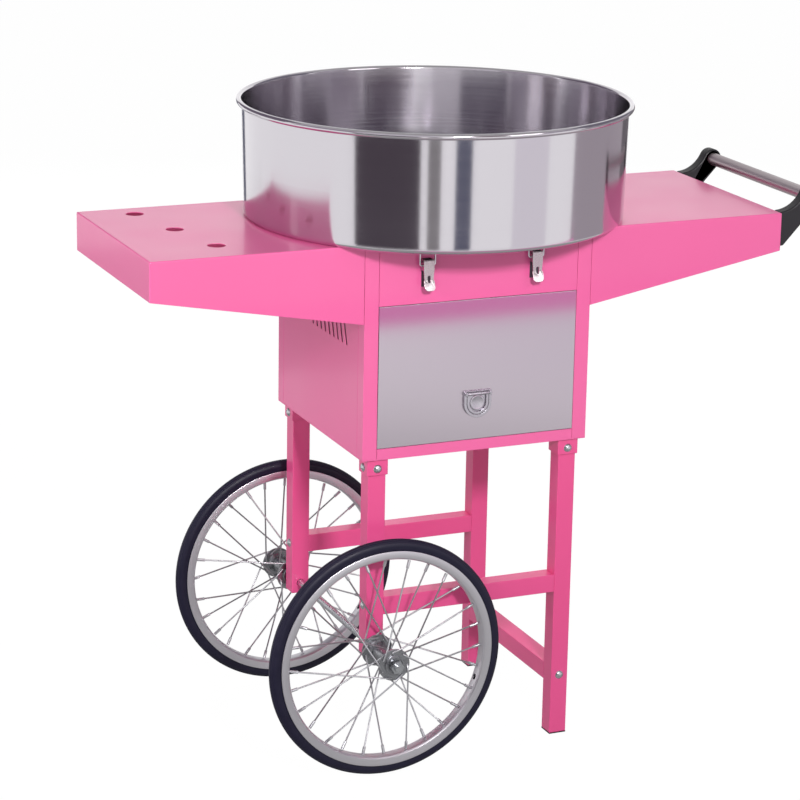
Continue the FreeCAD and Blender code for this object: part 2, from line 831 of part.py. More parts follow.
def make_runners():
    """Two ledges on the side panels that the drawer slides on."""
    run = "2 * (half_depth - post_width - seam - gauge - fit_gap)"
    wall = "half_width - gauge - fit_gap"
    inner = "drawer_half - runner_inset"
    runners = []
    for name, left, web in (("Left", "-(%s)" % wall, "-(%s)" % wall), ("Right", inner, "%s - gauge" % wall)):
        ledge = block("Runner%sLedge" % name, ("%s - (%s)" % (wall, inner), run, "gauge"),
                      (left, "-(%s) / 2" % run, "runner_top - gauge"))
        upright = block("Runner%sWeb" % name, ("gauge", run, "runner_height"),
                        (web, "-(%s) / 2" % run, "runner_top - runner_height"))
        runners.append(join("Runner" + name, ledge, upright))
    ship("drawer_runners", group("Runners", *runners))


# ---- drawer -----------------------------------------------------------------------------------

def make_drawer():
    """The drawer's box, its stainless front and the drop pull."""
    run = "drawer_front_y + drawer_back_y"
    outer = block("DrawerOuter", ("2 * drawer_half", run, "drawer_height"),
                  ("-drawer_half", "-drawer_front_y", "runner_top + fit_gap"))
    inner = block("DrawerInner",
                  ("2 * (drawer_half - drawer_wall)", "%s - 2 * drawer_wall" % run, "drawer_height"),
                  ("-drawer_half + drawer_wall", "-drawer_front_y + drawer_wall",
                   "runner_top + fit_gap + drawer_wall"))
    ship("drawer_box", cut("DrawerBox", outer, inner))
    height = "panel_low_edge - seam - drawer_low_edge"
    face = centred_block("DrawerFace", ("2 * (opening_half - seam)", "drawer_front_depth", height),
                         ("0", "drawer_front_depth / 2", "drawer_low_edge"))
    inside = ("2 * (opening_half - seam - gauge)", "drawer_front_depth", height + " - 2 * gauge")
    hollow = centred_block("DrawerFaceHollow", inside,
                           ("0", "gauge + drawer_front_depth / 2", "drawer_low_edge + gauge"))
    ship("drawer_front", cut("DrawerFront", face, hollow), "0", "-half_depth")


def u_plate(name, half, above, thickness, out):
    """A plate with a round bottom, standing out from y = 0, about the pull's centre."""
    start = "-(%s)" % out
    top = block(name + "Top", ("2 * (%s)" % half, thickness, above),
                ("-(%s)" % half, start, "pull_centre_height"))
    bottom = rod(name + "Round", half, thickness, ("0", start, "pull_centre_height"), "+Y")
    return join(name, top, bottom)


def make_pull():
    """A raised plate with a recess, and a U-shaped strap that hangs in it from a pin."""
    above = "pull_height - pull_radius"
    hinge_out = "pull_thickness + pull_pin_radius - pull_pin_sink"
    hinge_rise = "pull_hinge_z - pull_centre_height"
    blank = u_plate("PullBlank", "pull_radius", above, "pull_thickness", "pull_thickness")
    recess = u_plate("PullRecess", "strap_out + pull_clearance", hinge_rise + " + 2 * pull_pin_radius",
                     "pull_recess", "pull_thickness")
    plate = cut("PullPlate", blank, recess)
    knuckle = "pull_radius - pull_side - strap_out - fit_gap"
    depth = "2 * pull_pin_radius + pull_recess"
    knuckles = [
        block("PullKnuckle%d" % k, (knuckle, depth, "3 * pull_pin_radius"),
              (x, "-(%s) - pull_pin_radius - pull_pin_sink" % hinge_out,
               "pull_hinge_z - 1.5 * pull_pin_radius"))
        for k, x in enumerate(("-pull_radius + pull_side", "strap_out + fit_gap"))
    ]
    pin = rod("PullPin", "pull_pin_radius", "pull_width - 2 * pull_side",
              ("-pull_radius + pull_side", "-(%s)" % hinge_out, "pull_hinge_z"), "+X")
    ship("pull_plate", join("PullPlateWithPin", plate, *(knuckles + [pin])), "0", "-half_depth")

    outer = u_plate("StrapOuter", "strap_out", hinge_rise, "strap_thickness", "pull_thickness + strap_stand")
    inner = u_plate("StrapInner", "strap_out - pull_strap", hinge_rise, "2 * strap_thickness",
                    "pull_thickness + strap_thickness")
    hinge = ("-strap_out", "-(%s)" % hinge_out, "pull_hinge_z")
    barrel = rod("StrapBarrel", "pull_pin_radius + strap_eye", "2 * strap_out", hinge, "+X")
    bore = rod("StrapBore", "pull_pin_radius + axle_fit", "2 * strap_out", hinge, "+X")
    ring = cut("Strap", join("StrapWithBarrel", cut("StrapU", outer, inner), barrel), bore)
    ship("pull_ring", ring, "0", "-half_depth")


# ---- legs, rails and their bolts ----------------------------------------------------------------

LEGS = (("FrontLeft", "-", "-"), ("BackLeft", "-", ""), ("FrontRight", "", "-"), ("BackRight", "", ""))


def bolt_hole(name, length, start, axis):
    return rod(name, "bolt_radius + bolt_hole_gap", length, start, axis)


def outward(sign, letter):
    """Axis name that points away from the cart's middle on the given side."""
    return ("-" if sign == "-" else "+") + letter


def make_legs():
    """Short legs that carry the axle, long legs that stand on the floor, and their sockets."""
    sockets, short_legs, long_legs = [], [], []
    for name, sx, sy in LEGS:
        x, y = sx + "leg_x", sy + "leg_y"
        holes = [
            bolt_hole(name + "SocketHoleX", "socket_size", (x, y, "socket_bolt_z"), outward(sx, "X")),
            bolt_hole(name + "SocketHoleY", "socket_size", (x, y, "socket_bolt_z"), outward(sy, "Y")),
        ]
        sleeve = centred_block(name + "SleeveOuter", ("socket_size", "socket_size", "socket_drop"),
                               (x, y, "cabinet_base - socket_drop"))
        bore_size = "tube + 2 * fit_gap"
        bore = centred_block(name + "SleeveBore", (bore_size, bore_size, "socket_drop"),
                             (x, y, "cabinet_base - socket_drop"))
        sockets.append(cut(name + "Socket", sleeve, bore, *holes))
        low = "wheel_radius - short_leg_tail" if sx == "-" else "foot_height"
        corner = ("%s - tube / 2" % x, "%s - tube / 2" % y, low)
        leg = tube_along(name + "Tube", "Z", "cabinet_base - (%s)" % low, corner)
        tools = [
            bolt_hole(name + "LegHoleX", "socket_size", (x, y, "socket_bolt_z"), outward(sx, "X")),
            bolt_hole(name + "LegHoleY", "socket_size", (x, y, "socket_bolt_z"), outward(sy, "Y")),
            bolt_hole(name + "RailHole", "2 * tube", ("%s - tube" % x, y, "cross_bolt_z"), "+X"),
        ]
        if sx == "-":
            tools.append(rod(name + "AxleHole", "axle_radius + wire_fit", "2 * tube",
                             (x, "%s - tube" % y, "wheel_radius"), "+Y"))
            short_legs.append(cut(name + "Leg", leg, *tools))
        else:
            tools.append(bolt_hole(name + "SideHole", "2 * tube", (x, "%s - tube" % y, "side_bolt_z"), "+Y"))
            long_legs.append(cut(name + "Leg", leg, *tools))
    ship("leg_sockets", group("Sockets", *sockets))
    ship("short_legs", group("ShortLegs", *short_legs))
    ship("long_legs", group("LongLegs", *long_legs))


def closed_rail(name, axis, length, corner):
    """A square tube rail with a drilled plate welded across each end."""
    tube = tube_along(name + "Tube", axis, length, corner)
    ends, holes = [], []
    for k in (0, 1):
        shift = "0" if k == 0 else "%s - socket_wall" % length
        along = "XYZ".index(axis)
        lengths = ["socket_wall" if letter == axis else "tube" for letter in "XYZ"]
        place = list(corner)
        place[along] = "%s + %s" % (corner[along], shift)
        start = ["%s + tube / 2" % value for value in corner]
        start[along] = "%s - 1" % place[along]
        ends.append(block("%sEnd%d" % (name, k), lengths, place))
        holes.append(bolt_hole("%sHole%d" % (name, k), "socket_wall + 2", start, "+" + axis))
    return cut(name, join(name + "Closed", tube, *ends), *holes)


def make_rails():
    """Two rails along the cart and one across its standing end."""
    length = "2 * leg_x - tube"
    rails = [
        closed_rail("CrossRail" + name, "X", length,
                    ("-leg_x + tube / 2", "%sleg_y - tube / 2" % sign, "cross_rail_height"))
        for name, sign in (("Front", "-"), ("Back", ""))
    ]
    ship("cross_rails", group("CrossRails", *rails))
    side = closed_rail("SideRail", "Y", "2 * leg_y - tube",
                       ("leg_x - tube / 2", "-leg_y + tube / 2", "side_rail_height"))
    ship("side_rail", side)


def dome_bolt(name, place, direction, grip):
    """A dome-headed bolt with its nut: place is under the head, and direction points out of it."""
    back = {"+": "-", "-": "+"}[direction[0]] + direction[1]
    letter = "XYZ".index(direction[1])
    inwards = "-" if direction[0] == "+" else "+"
    ball = "(bolt_head_radius ^ 2 + bolt_head_height ^ 2) / (2 * bolt_head_height)"
    head = turn(document.addObject("Part::Sphere", name + "Head"), *TURNS[direction])
    bind(head, Radius=ball, Angle1="asin(1 - bolt_head_height / (%s))" % ball)
    centre = list(place)
    centre[letter] = "%s %s (%s - bolt_head_height)" % (place[letter], inwards, ball)
    seat(head, *centre)
    tail = "%s + nut_height + 1" % grip
    shank = rod(name + "Shank", "bolt_radius", tail, place, back)
    nut_place = list(place)
    nut_place[letter] = "%s %s (%s)" % (place[letter], inwards, grip)
    nut = turn(document.addObject("Part::Prism", name + "Nut"), *TURNS[back])
    nut.Polygon = 6
    bind(nut, Circumradius="nut_radius", Height="nut_height")
    seat(nut, *nut_place)
    return join(name, head, shank, nut)


def make_bolts():
    """Every dome bolt of the stand: two in each socket, one at each end of each rail."""
    wall = "socket_size / 2 - tube / 2 + tube_wall + 0.1"
    rail_grip = "tube + socket_wall + 0.1"
    bolts = []
    for name, sx, sy in LEGS:
        x, y = sx + "leg_x", sy + "leg_y"
        outer_x = "%s %s socket_size / 2" % (x, sx or "+")
        outer_y = "%s %s socket_size / 2" % (y, sy or "+")
        bolts.append(dome_bolt(name + "BoltX", (outer_x, y, "socket_bolt_z"), outward(sx, "X"), wall))
        bolts.append(dome_bolt(name + "BoltY", (x, outer_y, "socket_bolt_z"), outward(sy, "Y"), wall))
        bolts.append(dome_bolt(name + "RailBolt", ("%s %s tube / 2" % (x, sx or "+"), y, "cross_bolt_z"),
                               outward(sx, "X"), rail_grip))
        if sx != "-":
            bolts.append(dome_bolt(name + "SideBolt", (x, "%s %s tube / 2" % (y, sy or "+"), "side_bolt_z"),
                                   outward(sy, "Y"), rail_grip))
    ship("dome_bolts", group("DomeBolts", *bolts))


def make_feet():
    """Moulded plugs in the open ends of the long legs."""
    feet = []
    for name, sx, sy in LEGS[2:]:
        x, y = sx + "leg_x", sy + "leg_y"
        plug_size = "tube - 2 * tube_wall - 2 * wire_fit"
        plug_lengths = (plug_size, plug_size, "foot_height + foot_plug")
        sole = centred_block(name + "FootSole", ("tube", "tube", "foot_height"), (x, y, "0"))
        plug = centred_block(name + "FootPlug", plug_lengths, (x, y, "0"))
        feet.append(join(name + "Foot", sole, plug))
    ship("leg_feet", group("Feet", *feet))


# ---- wheels -----------------------------------------------------------------------------------

def make_axle():
    """The plain steel axle with a washer, a spacer and a nut for each wheel."""
    start = ("-leg_x", "-axle_half", "wheel_radius")
    ship("axle", group("Axle", rod("AxleRod", "axle_radius", "2 * axle_half", start, "+Y")))
    nuts = []
    for name, sign, axis in (("Front", "-", "-Y"), ("Back", "", "+Y")):
        hole = rod(name + "NutHole", "axle_radius + axle_fit", "2 * axle_half", start, "+Y")
        nut = turn(document.addObject("Part::Prism", name + "NutHex"), *TURNS[axis])
        nut.Polygon = 6
        bind(nut, Circumradius="axle_nut_radius", Height="axle_nut_height")
        seat(nut, "-leg_x", "%s(wheel_y + hub_half_length + fit_gap)" % sign, "wheel_radius")
        nuts.append(cut(name + "Nut", nut, hole))
        hole = rod(name + "SpacerHole", "axle_radius + axle_fit", "2 * axle_half", start, "+Y")
        spacer = rod(name + "SpacerRound", "axle_radius + spacer_wall", "wheel_gap - 2 * fit_gap",
                     ("-leg_x", "%s(leg_front + fit_gap)" % sign, "wheel_radius"), axis)
        nuts.append(cut(name + "Spacer", spacer, hole))
    ship("axle_nuts", group("AxleNuts", *nuts))


def make_tyre(label):
    """Solid tyre: a round tread over a base that narrows into the rim."""
    crown = "wheel_radius - tyre_half"
    foot = "rim_inner_radius + rim_wall + tyre_seat_gap"
    foot_half = "rim_width / 2 - rim_wall - tyre_seat_gap"
    body = turned_body(label + "_body", [
        (crown, "tyre_half"),
        (crown, "-tyre_half"),
        (foot, "-(%s)" % foot_half),
        (foot, foot_half),
    ])
    tread = body.newObject("PartDesign::AdditiveTorus", label + "_tread")
    bind(tread, Radius1=crown, Radius2="tyre_half")
    return body


def make_rim(label):
    """Bent steel rim: a channel open outwards, with a hole for a valve."""
    edge, inner = "rim_edge_radius", "rim_inner_radius"
    half = "rim_width / 2"
    right = [
        (edge, half),
        (edge, half + " - rim_wall"),
        (inner + " + rim_wall + rim_shoulder", half + " - rim_wall - rim_lean"),
        (inner + " + rim_wall", half + " - rim_wall - rim_bed_inset"),
    ]
    left = [(radius, "-(%s)" % across) for radius, across in reversed(right)]
    belly = inner + " + rim_belly"
    outside_left = [(belly, "-(%s) + rim_lean" % half), (inner, "-(%s) + rim_belly_inset" % half)]
    outside_right = [(inner, half + " - rim_belly_inset"), (belly, half + " - rim_lean")]
    body = turned_body(label + "_body", right + left + outside_left + outside_right)
    valve = body.newObject("PartDesign::SubtractiveCylinder", label + "_valve_hole")
    bind(valve, Radius="valve_hole_radius", Height="wheel_radius")
    # The hole lies midway between the first two spokes.
    between = Rotation(Vector(0, 0, 1), 180 / size("spoke_count"))
    valve.Placement = FreeCAD.Placement(Vector(0, 0, 0), between * Rotation(Vector(0, 1, 0), 90))
    return body


def make_hub(label):
    """Turned hub shell: barrel, two spoke flanges and two bearing cups."""
    bore = "axle_radius + axle_fit"
    flange_low = "hub_flange_spread - hub_flange_thickness / 2"
    flange_high = "hub_flange_spread + hub_flange_thickness / 2"
    upper = [
        ("hub_barrel_radius", "0"),
        ("hub_barrel_radius", flange_low + " - hub_fillet"),
        ("hub_barrel_radius + hub_fillet", flange_low),
        ("hub_flange_radius", flange_low),
        ("hub_flange_radius", flange_high),
        ("hub_cup_radius", flange_high),
        ("hub_cup_radius", "hub_half_length - hub_cup_step"),
        ("hub_cup_radius - hub_cup_wall", "hub_half_length - hub_cup_step"),
        ("hub_cup_radius - hub_cup_wall", flange_high),
        ("axle_radius + hub_cone_wall", flange_high),
        ("axle_radius + hub_cone_wall", "hub_half_length"),
        (bore, "hub_half_length"),
    ]
    lower = [(radius, "-(%s)" % height) for radius, height in reversed(upper[1:])]
    return turned_body(label + "_body", upper + lower)


def cylinder_between(first, second, radius):
    """A round bar from one point to another."""
    run = second - first
    return Part.makeCylinder(radius, run.Length, first, run)


def spoke(index):
    """One laced spoke with its nipple: it leaves its flange at a tangent and ends in the rim.

    Even spokes belong to the outer flange and odd ones to the inner flange. On each flange they lean
    forwards and backwards in turn; those that lean forwards lie outside the flange and bend over
    its edge, the others lie inside it, so that crossing spokes pass clear of each other.
    """
    count = int(size("spoke_count"))
    thick = size("spoke_radius")
    flange = 1 if index % 2 == 0 else -1
    lean = 1 if (index // 2) % 2 == 0 else -1
    rim_angle = index * math.tau / count
    hub_angle = rim_angle + lean * size("spoke_crossings") * 2 * math.tau / count
    circle, edge = size("hub_hole_circle"), size("hub_flange_radius")
    clear = size("hub_flange_thickness") / 2 + thick + size("fit_gap")
    height = flange * (size("hub_flange_spread") + lean * clear)
    hole = Vector(circle * math.cos(hub_angle), circle * math.sin(hub_angle), height)
    reach = size("rim_inner_radius") - size("fit_gap")
    landing = flange * (size("nipple_offset") + size("nipple_spread") * lean)
    nipple_end = Vector(reach * math.cos(rim_angle), reach * math.sin(rim_angle), landing)
    elbow = hole
    if lean > 0:
        level = Vector(nipple_end.x - hole.x, nipple_end.y - hole.y, 0)
        level.normalize()
        past_edge = math.sqrt(edge ** 2 - circle ** 2) + 2 * thick
        elbow = hole + level * past_edge
    run = nipple_end - elbow
    run.normalize()
    # The nipple's outer end is square to the spoke, so it stops short of the round rim.
    nipple_end = nipple_end - run * size("nipple_radius") * 0.5
    wire = cylinder_between(elbow, nipple_end, thick)
    nipple = cylinder_between(nipple_end - run * size("nipple_length"), nipple_end, size("nipple_radius"))
    solid = wire.fuse(nipple)
    if lean > 0:
        solid = solid.fuse([cylinder_between(hole, elbow, thick), Part.makeSphere(thick, elbow)])
    return solid.removeSplitter()


def make_wheel(prefix, sign, turn_degrees):
    """One wheel, drawn about its own axis with +Z outwards and stood on the axle.

    Both wheels rest with the valve hole turned to the same place, low on the handle side.
    """
    spokes = [spoke(k) for k in range(int(size("spoke_count")))]
    lacing = document.addObject("Part::Feature", prefix + "_lacing")
    lacing.Shape = Part.makeCompound(spokes)
    pieces = (("tyre", make_tyre(prefix + "_tyre")), ("rim", make_rim(prefix + "_rim")),
              ("spokes", lacing), ("hub", make_hub(prefix + "_hub")))
    upright = Rotation(Vector(1, 0, 0), turn_degrees)
    rest = Rotation(Vector(0, 1, 0), -size("wheel_turn"))
    for part, item in pieces:
        item.Placement = FreeCAD.Placement(Vector(0, 0, 0), rest * upright)
        ship(prefix + "_" + part, item, "(-leg_x)", sign + "wheel_y", "wheel_radius")


# ---- latches ----------------------------------------------------------------------------------

def make_latch_base(name, face, x):
    """Base plate with two ears and the pin that the lever turns on."""
    tag = "Latch_" + name
    plate = block(tag + "Plate", ("latch_base_width", "latch_plate", "latch_base_height"),
                  ("-latch_base_width / 2", "-latch_plate", "pivot_z + ear_radius - latch_base_height"))
    pieces = [plate]
    for k, place in enumerate(("-ear_spread / 2", "ear_spread / 2 - ear_thickness")):
        pieces.append(block("%sEar%d" % (tag, k), ("ear_thickness", "latch_pivot_out", "2 * ear_radius"),
                            (place, "-latch_pivot_out", "pivot_z - ear_radius")))
        pieces.append(rod("%sEarEnd%d" % (tag, k), "ear_radius", "ear_thickness",
                          (place, "-latch_pivot_out", "pivot_z"), "+X"))
    pieces.append(rod(tag + "Pin", "latch_pin_radius", "lever_width + 2 * pin_overhang",
                      ("-lever_width / 2 - pin_overhang", "-latch_pivot_out", "pivot_z"), "+X"))
    return on_face(join(tag + "Base", *pieces), face, x)


def flat_piece(name, corners, out):
    """A sheet piece of the lever's gauge from the corners of its face, standing `out` from y = 0."""
    body = new_body(name)
    section = sketch_on(body, name + "Outline", "XZ_Plane", out)
    outline(section, corners)
    pad(body, section, name + "Pad", "lever_gauge")
    return body


def make_lever(name, face, x):
    """Pressed lever: a tapered plate with a lock slot, a kicked-out tip and two cheeks.

    The cheeks carry the pivot pin and the ends of the bail.
    """
    tag = "Lever_" + name
    top = "pivot_z + lever_top"
    neck_z = "pivot_z - lever_neck_drop"
    shoulder_z = "pivot_z - lever_cheek"
    plate = flat_piece(tag + "Plate", [
        ("-lever_width / 2", top),
        ("lever_width / 2", top),
        ("lever_width / 2", shoulder_z),
        ("lever_neck / 2", neck_z),
        ("-lever_neck / 2", neck_z),
        ("-lever_width / 2", shoulder_z),
    ], "lever_out")
    # The tip starts a little above the neck, so that the two plates meet in a bend without a gap.
    tip = flat_piece(tag + "Tip", [
        ("-lever_neck / 2", "lever_gauge"),
        ("lever_neck / 2", "lever_gauge"),
        ("lever_tip / 2", "-lever_tip_corner / 2"),
        ("lever_tip / 2", "-lever_tip_length + lever_tip_corner"),
        ("lever_tip / 2 - lever_tip_corner", "-lever_tip_length"),
        ("-lever_tip / 2 + lever_tip_corner", "-lever_tip_length"),
        ("-lever_tip / 2", "-lever_tip_length + lever_tip_corner"),
        ("-lever_tip / 2", "-lever_tip_corner / 2"),
    ], "0")
    turn(tip, Vector(1, 0, 0), -size("lever_kick"))
    seat(tip, y="-lever_out", z=neck_z)
    cheek_in = "bail_out - bail_wire - wire_fit - cheek_edge"
    cheeks = [
        block("%sCheek%d" % (tag, k),
              ("lever_gauge", "lever_out + lever_gauge - (%s)" % cheek_in, "lever_cheek + lever_top"),
              (place, "-lever_out - lever_gauge", shoulder_z))
        for k, place in enumerate(("-lever_width / 2", "lever_width / 2 - lever_gauge"))
    ]
    slot_top = "pivot_z - lever_slot_drop"
    slot_start = "-lever_out - 4 * lever_gauge"
    holes = [
        rod(tag + "PinHole", "latch_pin_radius + axle_fit", "2 * lever_width",
            ("-lever_width", "-latch_pivot_out", "pivot_z"), "+X"),
        rod(tag + "BailHole", "bail_wire + wire_fit", "2 * lever_width",
            ("-lever_width", "-bail_out", "bail_z"), "+X"),
        rod(tag + "SlotTop", "lever_slot_radius", "6 * lever_gauge", ("0", slot_start, slot_top), "+Y"),
        rod(tag + "SlotFoot", "lever_slot_radius", "6 * lever_gauge",
            ("0", slot_start, slot_top + " - lever_slot_length"), "+Y"),
        block(tag + "SlotMiddle", ("2 * lever_slot_radius", "6 * lever_gauge", "lever_slot_length"),
              ("-lever_slot_radius", slot_start, slot_top + " - lever_slot_length")),
    ]
    return on_face(cut(tag, join(tag + "Blank", plate, tip, *cheeks), *holes), face, x)


def bail_shape():
    """Round wire bent to a loop: two inturned ends, two legs and a crossbar."""
    half, height = size("bail_spread") / 2, size("bail_length")
    bend, thick = size("bail_corner"), size("bail_wire")
    # The ends stop just inside the lever's cheeks, clear of the base's ears.
    end = size("ear_spread") / 2 + size("fit_gap")
    foot_bend = min(bend, half - size("lever_width") / 2 - size("fit_gap"))
    diagonal = math.sqrt(0.5)

    def at(across, up):
        return Vector(across, 0, up)

    def side(sign):
        """Foot, foot bend, leg and top bend of one side, from the foot up."""
        line = Part.makeLine(at(sign * end, 0), at(sign * (half - foot_bend), 0))
        low = Part.Arc(at(sign * (half - foot_bend), 0),
                       at(sign * (half - foot_bend * (1 - diagonal)), foot_bend * (1 - diagonal)),
                       at(sign * half, foot_bend)).toShape()
        leg = Part.makeLine(at(sign * half, foot_bend), at(sign * half, height - bend))
        high = Part.Arc(at(sign * half, height - bend),
                        at(sign * (half - bend * (1 - diagonal)), height - bend * (1 - diagonal)),
                        at(sign * (half - bend), height)).toShape()
        return [line, low, leg, high]

    crossbar = Part.makeLine(at(-half + bend, height), at(half - bend, height))
    path = Part.Wire(Part.__sortEdges__(side(-1) + [crossbar] + side(1)))
    start = at(-end, 0) if path.OrderedVertexes[0].Point.x < 0 else at(end, 0)
    section = Part.Wire(Part.makeCircle(thick, start, Vector(1, 0, 0)))
    return path.makePipeShell([section], True, False)


def make_bail(name, face, x):
    """The wire loop that hangs in the lever's cheeks and hooks over the catch."""
    item = document.addObject("Part::Feature", "Bail_" + name)
    item.Shape = bail_shape()
    angle = 0 if face == "front" else 180
    turn(item, Vector(0, 0, 1), angle)
    y = "-half_depth - bail_out" if face == "front" else "half_depth + bail_out"
    return seat(item, x, y, "bail_z")


def make_latches():
    """Four toggle latches: bases as one group, each lever and each bail on its own."""
    sites = list(latch_sites())
    ship("toggle_bases", group("LatchBases", *[make_latch_base(*site) for site in sites]))
    for name, face, x in sites:
        ship("toggle_lever_" + name, group("LeverGroup_" + name, make_lever(name, face, x)))
        ship("toggle_bail_" + name, group("BailGroup_" + name, make_bail(name, face, x)))


# ---- drive ------------------------------------------------------------------------------------

def make_motor():
    """Motor can with stepped ends, hung under a plate on four standoffs."""
    can = turned_body("MotorCan", [
        ("spindle_radius + axle_fit", "0"),
        ("spindle_radius + motor_boss", "0"),
        ("spindle_radius + motor_boss", "-motor_boss_height"),
        ("motor_radius - motor_shoulder", "-motor_boss_height"),
        ("motor_radius", "-motor_boss_height - motor_shoulder"),
        ("motor_radius", "-motor_height + motor_shoulder"),
        ("motor_radius - motor_shoulder", "-motor_height"),
        ("0", "-motor_height"),
        ("0", "-spindle_depth - 1"),
        ("spindle_radius + axle_fit", "-spindle_depth - 1"),
    ])
    seat(can, z="motor_top")
    ship("motor", group("Motor", can))

    plate = centred_block("MotorPlate", ("motor_plate_width", "motor_plate_width", "motor_plate"),
                          ("0", "0", "motor_plate_z"))
    hole = rod("MotorPlateHole", "ring_radius + ring_clearance", "3 * motor_plate",
               ("0", "0", "motor_plate_z - motor_plate"))
    posts = [
        rod("Standoff%d" % k, "standoff_radius", "deck_under - motor_plate_z",
            (sx + "standoff_spread", sy + "standoff_spread", "motor_plate_z"))
        for k, (sx, sy) in enumerate((("-", "-"), ("-", ""), ("", "-"), ("", "")))
    ]
    ship("motor_mount", cut("MotorMount", join("MotorPlatePosts", plate, *posts), hole))


def make_spindle():
    """Spindle from the motor to the head, with two brass slip rings on an insulating sleeve."""
    seat_z = "head_floor_z + head_floor"
    shaft = turned_body("SpindleShaft", [
        ("0", "motor_top - spindle_depth"),
        ("spindle_radius", "motor_top - spindle_depth"),
        ("spindle_radius", seat_z),
        ("spindle_radius + retainer_wall", seat_z + " + wire_fit"),
        ("spindle_radius + retainer_wall", seat_z + " + retainer_height"),
        ("spindle_radius", seat_z + " + retainer_height + retainer_taper"),
        ("0", seat_z + " + retainer_height + retainer_taper + 1"),
    ])
    ship("spindle", shaft)
    inner = "spindle_radius + axle_fit"
    step = "ring_height + ring_spacing"
    rings = turned_body("SlipRings", [
        (inner, "0"),
        ("ring_radius", "0"),
        ("ring_radius", "ring_height"),
        ("ring_sleeve", "ring_height"),
        ("ring_sleeve", step),
        ("ring_radius", step),
        ("ring_radius", "2 * ring_height + ring_spacing"),
        (inner, "2 * ring_height + ring_spacing"),
    ])
    ship("slip_rings", rings, z="ring_z")


def make_housing_and_brushes():
    """Flanged bearing housing on the deck, and the carbon brushes beside the slip rings."""
    bore = "spindle_radius + axle_fit"
    housing = turned_body("Housing", [
        (bore, "-housing_reach"),
        ("housing_collar - housing_shoulder", "-housing_reach"),
        ("housing_collar", "-housing_reach + housing_shoulder"),
        ("housing_collar", "0"),
        ("housing_radius", "0"),
        ("housing_radius", "housing_flange"),
        ("housing_collar", "housing_flange"),
        ("housing_collar - housing_shoulder", "housing_reach"),
        (bore, "housing_reach"),
    ])
    ship("bearing_housing", housing, z="deck_top")
    start = "ring_radius + brush_gap"
    block_start = start + " + brush_setback"
    bar = block("BrushBlock", ("brush_length", "brush_block_width", "2 * ring_height + ring_spacing"),
                (block_start, "-brush_block_width / 2", "ring_z"))
    foot = block("BrushFoot", ("brush_length + brush_foot_reach", "brush_block_width", "brush_foot"),
                 (block_start, "-brush_block_width / 2", "motor_plate_z + motor_plate"))
    brushes, pockets = [], []
    for k in (0, 1):
        low = "ring_z + brush_margin + %d * (ring_height + ring_spacing)" % k
        brushes.append(block("Brush%d" % k, ("brush_length", "brush_width", "ring_height - 2 * brush_margin"),
                             (start, "-brush_width / 2", low)))
        pockets.append(block("BrushPocket%d" % k,
                             ("brush_length", "brush_width + 2 * brush_play",
                              "ring_height - 2 * brush_margin + 2 * brush_play"),
                             (start + " + brush_play", "-brush_width / 2 - brush_play",
                              low + " - brush_play")))
    holder = cut("BrushHolder", join("BrushBlockFoot", bar, foot), *pockets)
    ship("brush_holder", group("BrushGear", holder, *brushes))


def make_head():
    """Spinner head: aluminium dish, slotted heater band and a lid with the sugar mouth."""
    bore = "spindle_radius + axle_fit"
    dish = turned_body("HeadDish", [
        (bore, "0"),
        ("head_hub_radius", "0"),
        ("head_hub_radius + head_taper", "head_hub_height"),
        ("head_radius - head_taper", "head_hub_height"),
        ("head_radius", "head_hub_height + head_taper"),
        ("head_radius", "head_hub_height + head_floor + head_lip"),
        ("head_radius - head_lip_wall", "head_hub_height + head_floor + head_lip"),
        ("head_radius - head_lip_wall - 1", "head_hub_height + head_floor"),
        (bore, "head_hub_height + head_floor"),
    ])
    ship("spinner_head", dish, z="head_z")
    base = "head_floor_z + head_floor"
    ring = rod("BandOuter", "band_radius", "band_height", ("0", "0", base))
    bore_tool = rod("BandBore", "band_radius - band_wall", "band_height", ("0", "0", base))
    count, wall = int(size("band_slots")), size("band_wall")
    low = size("head_floor_z") + size("head_floor") + size("band_slot_rise")
    slots = []
    for k in range(count):
        corner = Vector(size("band_radius") - 2.5 * wall, -size("band_slot_width") / 2, low)
        slit = Part.makeBox(4 * wall, size("band_slot_width"), size("band_slot_height"), corner)
        slit.rotate(Vector(0, 0, 0), Vector(0, 0, 1), 360.0 * k / count)
        slots.append(slit)
    slits = document.addObject("Part::Feature", "BandSlits")
    slits.Shape = Part.makeCompound(slots)
    ship("heater_band", cut("HeaterBand", cut("BandRing", ring, bore_tool), slits))
    lid = turned_body("HeadLid", [
        ("cap_mouth", "-cap_neck"),
        ("cap_mouth + cap_neck_wall", "-cap_neck"),
        ("cap_mouth + cap_neck_foot", "0"),
        ("head_radius - cap_bevel", "0"),
        ("head_radius", "cap_edge"),
        ("head_radius", "cap_thickness - cap_edge"),
        ("head_radius - cap_bevel", "cap_thickness"),
        ("cap_mouth + cap_bevel", "cap_thickness"),
        ("cap_mouth", "cap_thickness - cap_edge"),
    ])
    ship("head_cap", lid, z="cap_z")


# ---- controls on the back panel -----------------------------------------------------------------

def on_back(label, item):
    """Ship a piece drawn against y = 0, facing -Y, on the cabinet's back."""
    turn(item, Vector(0, 0, 1), 180)
    ship(label, item, "0", "half_depth")


def boxed(name, x, z, wide, tall, front, back):
    """A block about a middle point, from `front` outside the panel to `back` inside it."""
    return block(name, (wide, "%s + %s" % (front, back), tall),
                 ("%s - (%s) / 2" % (x, wide), "-(%s)" % front, "%s - (%s) / 2" % (z, tall)))


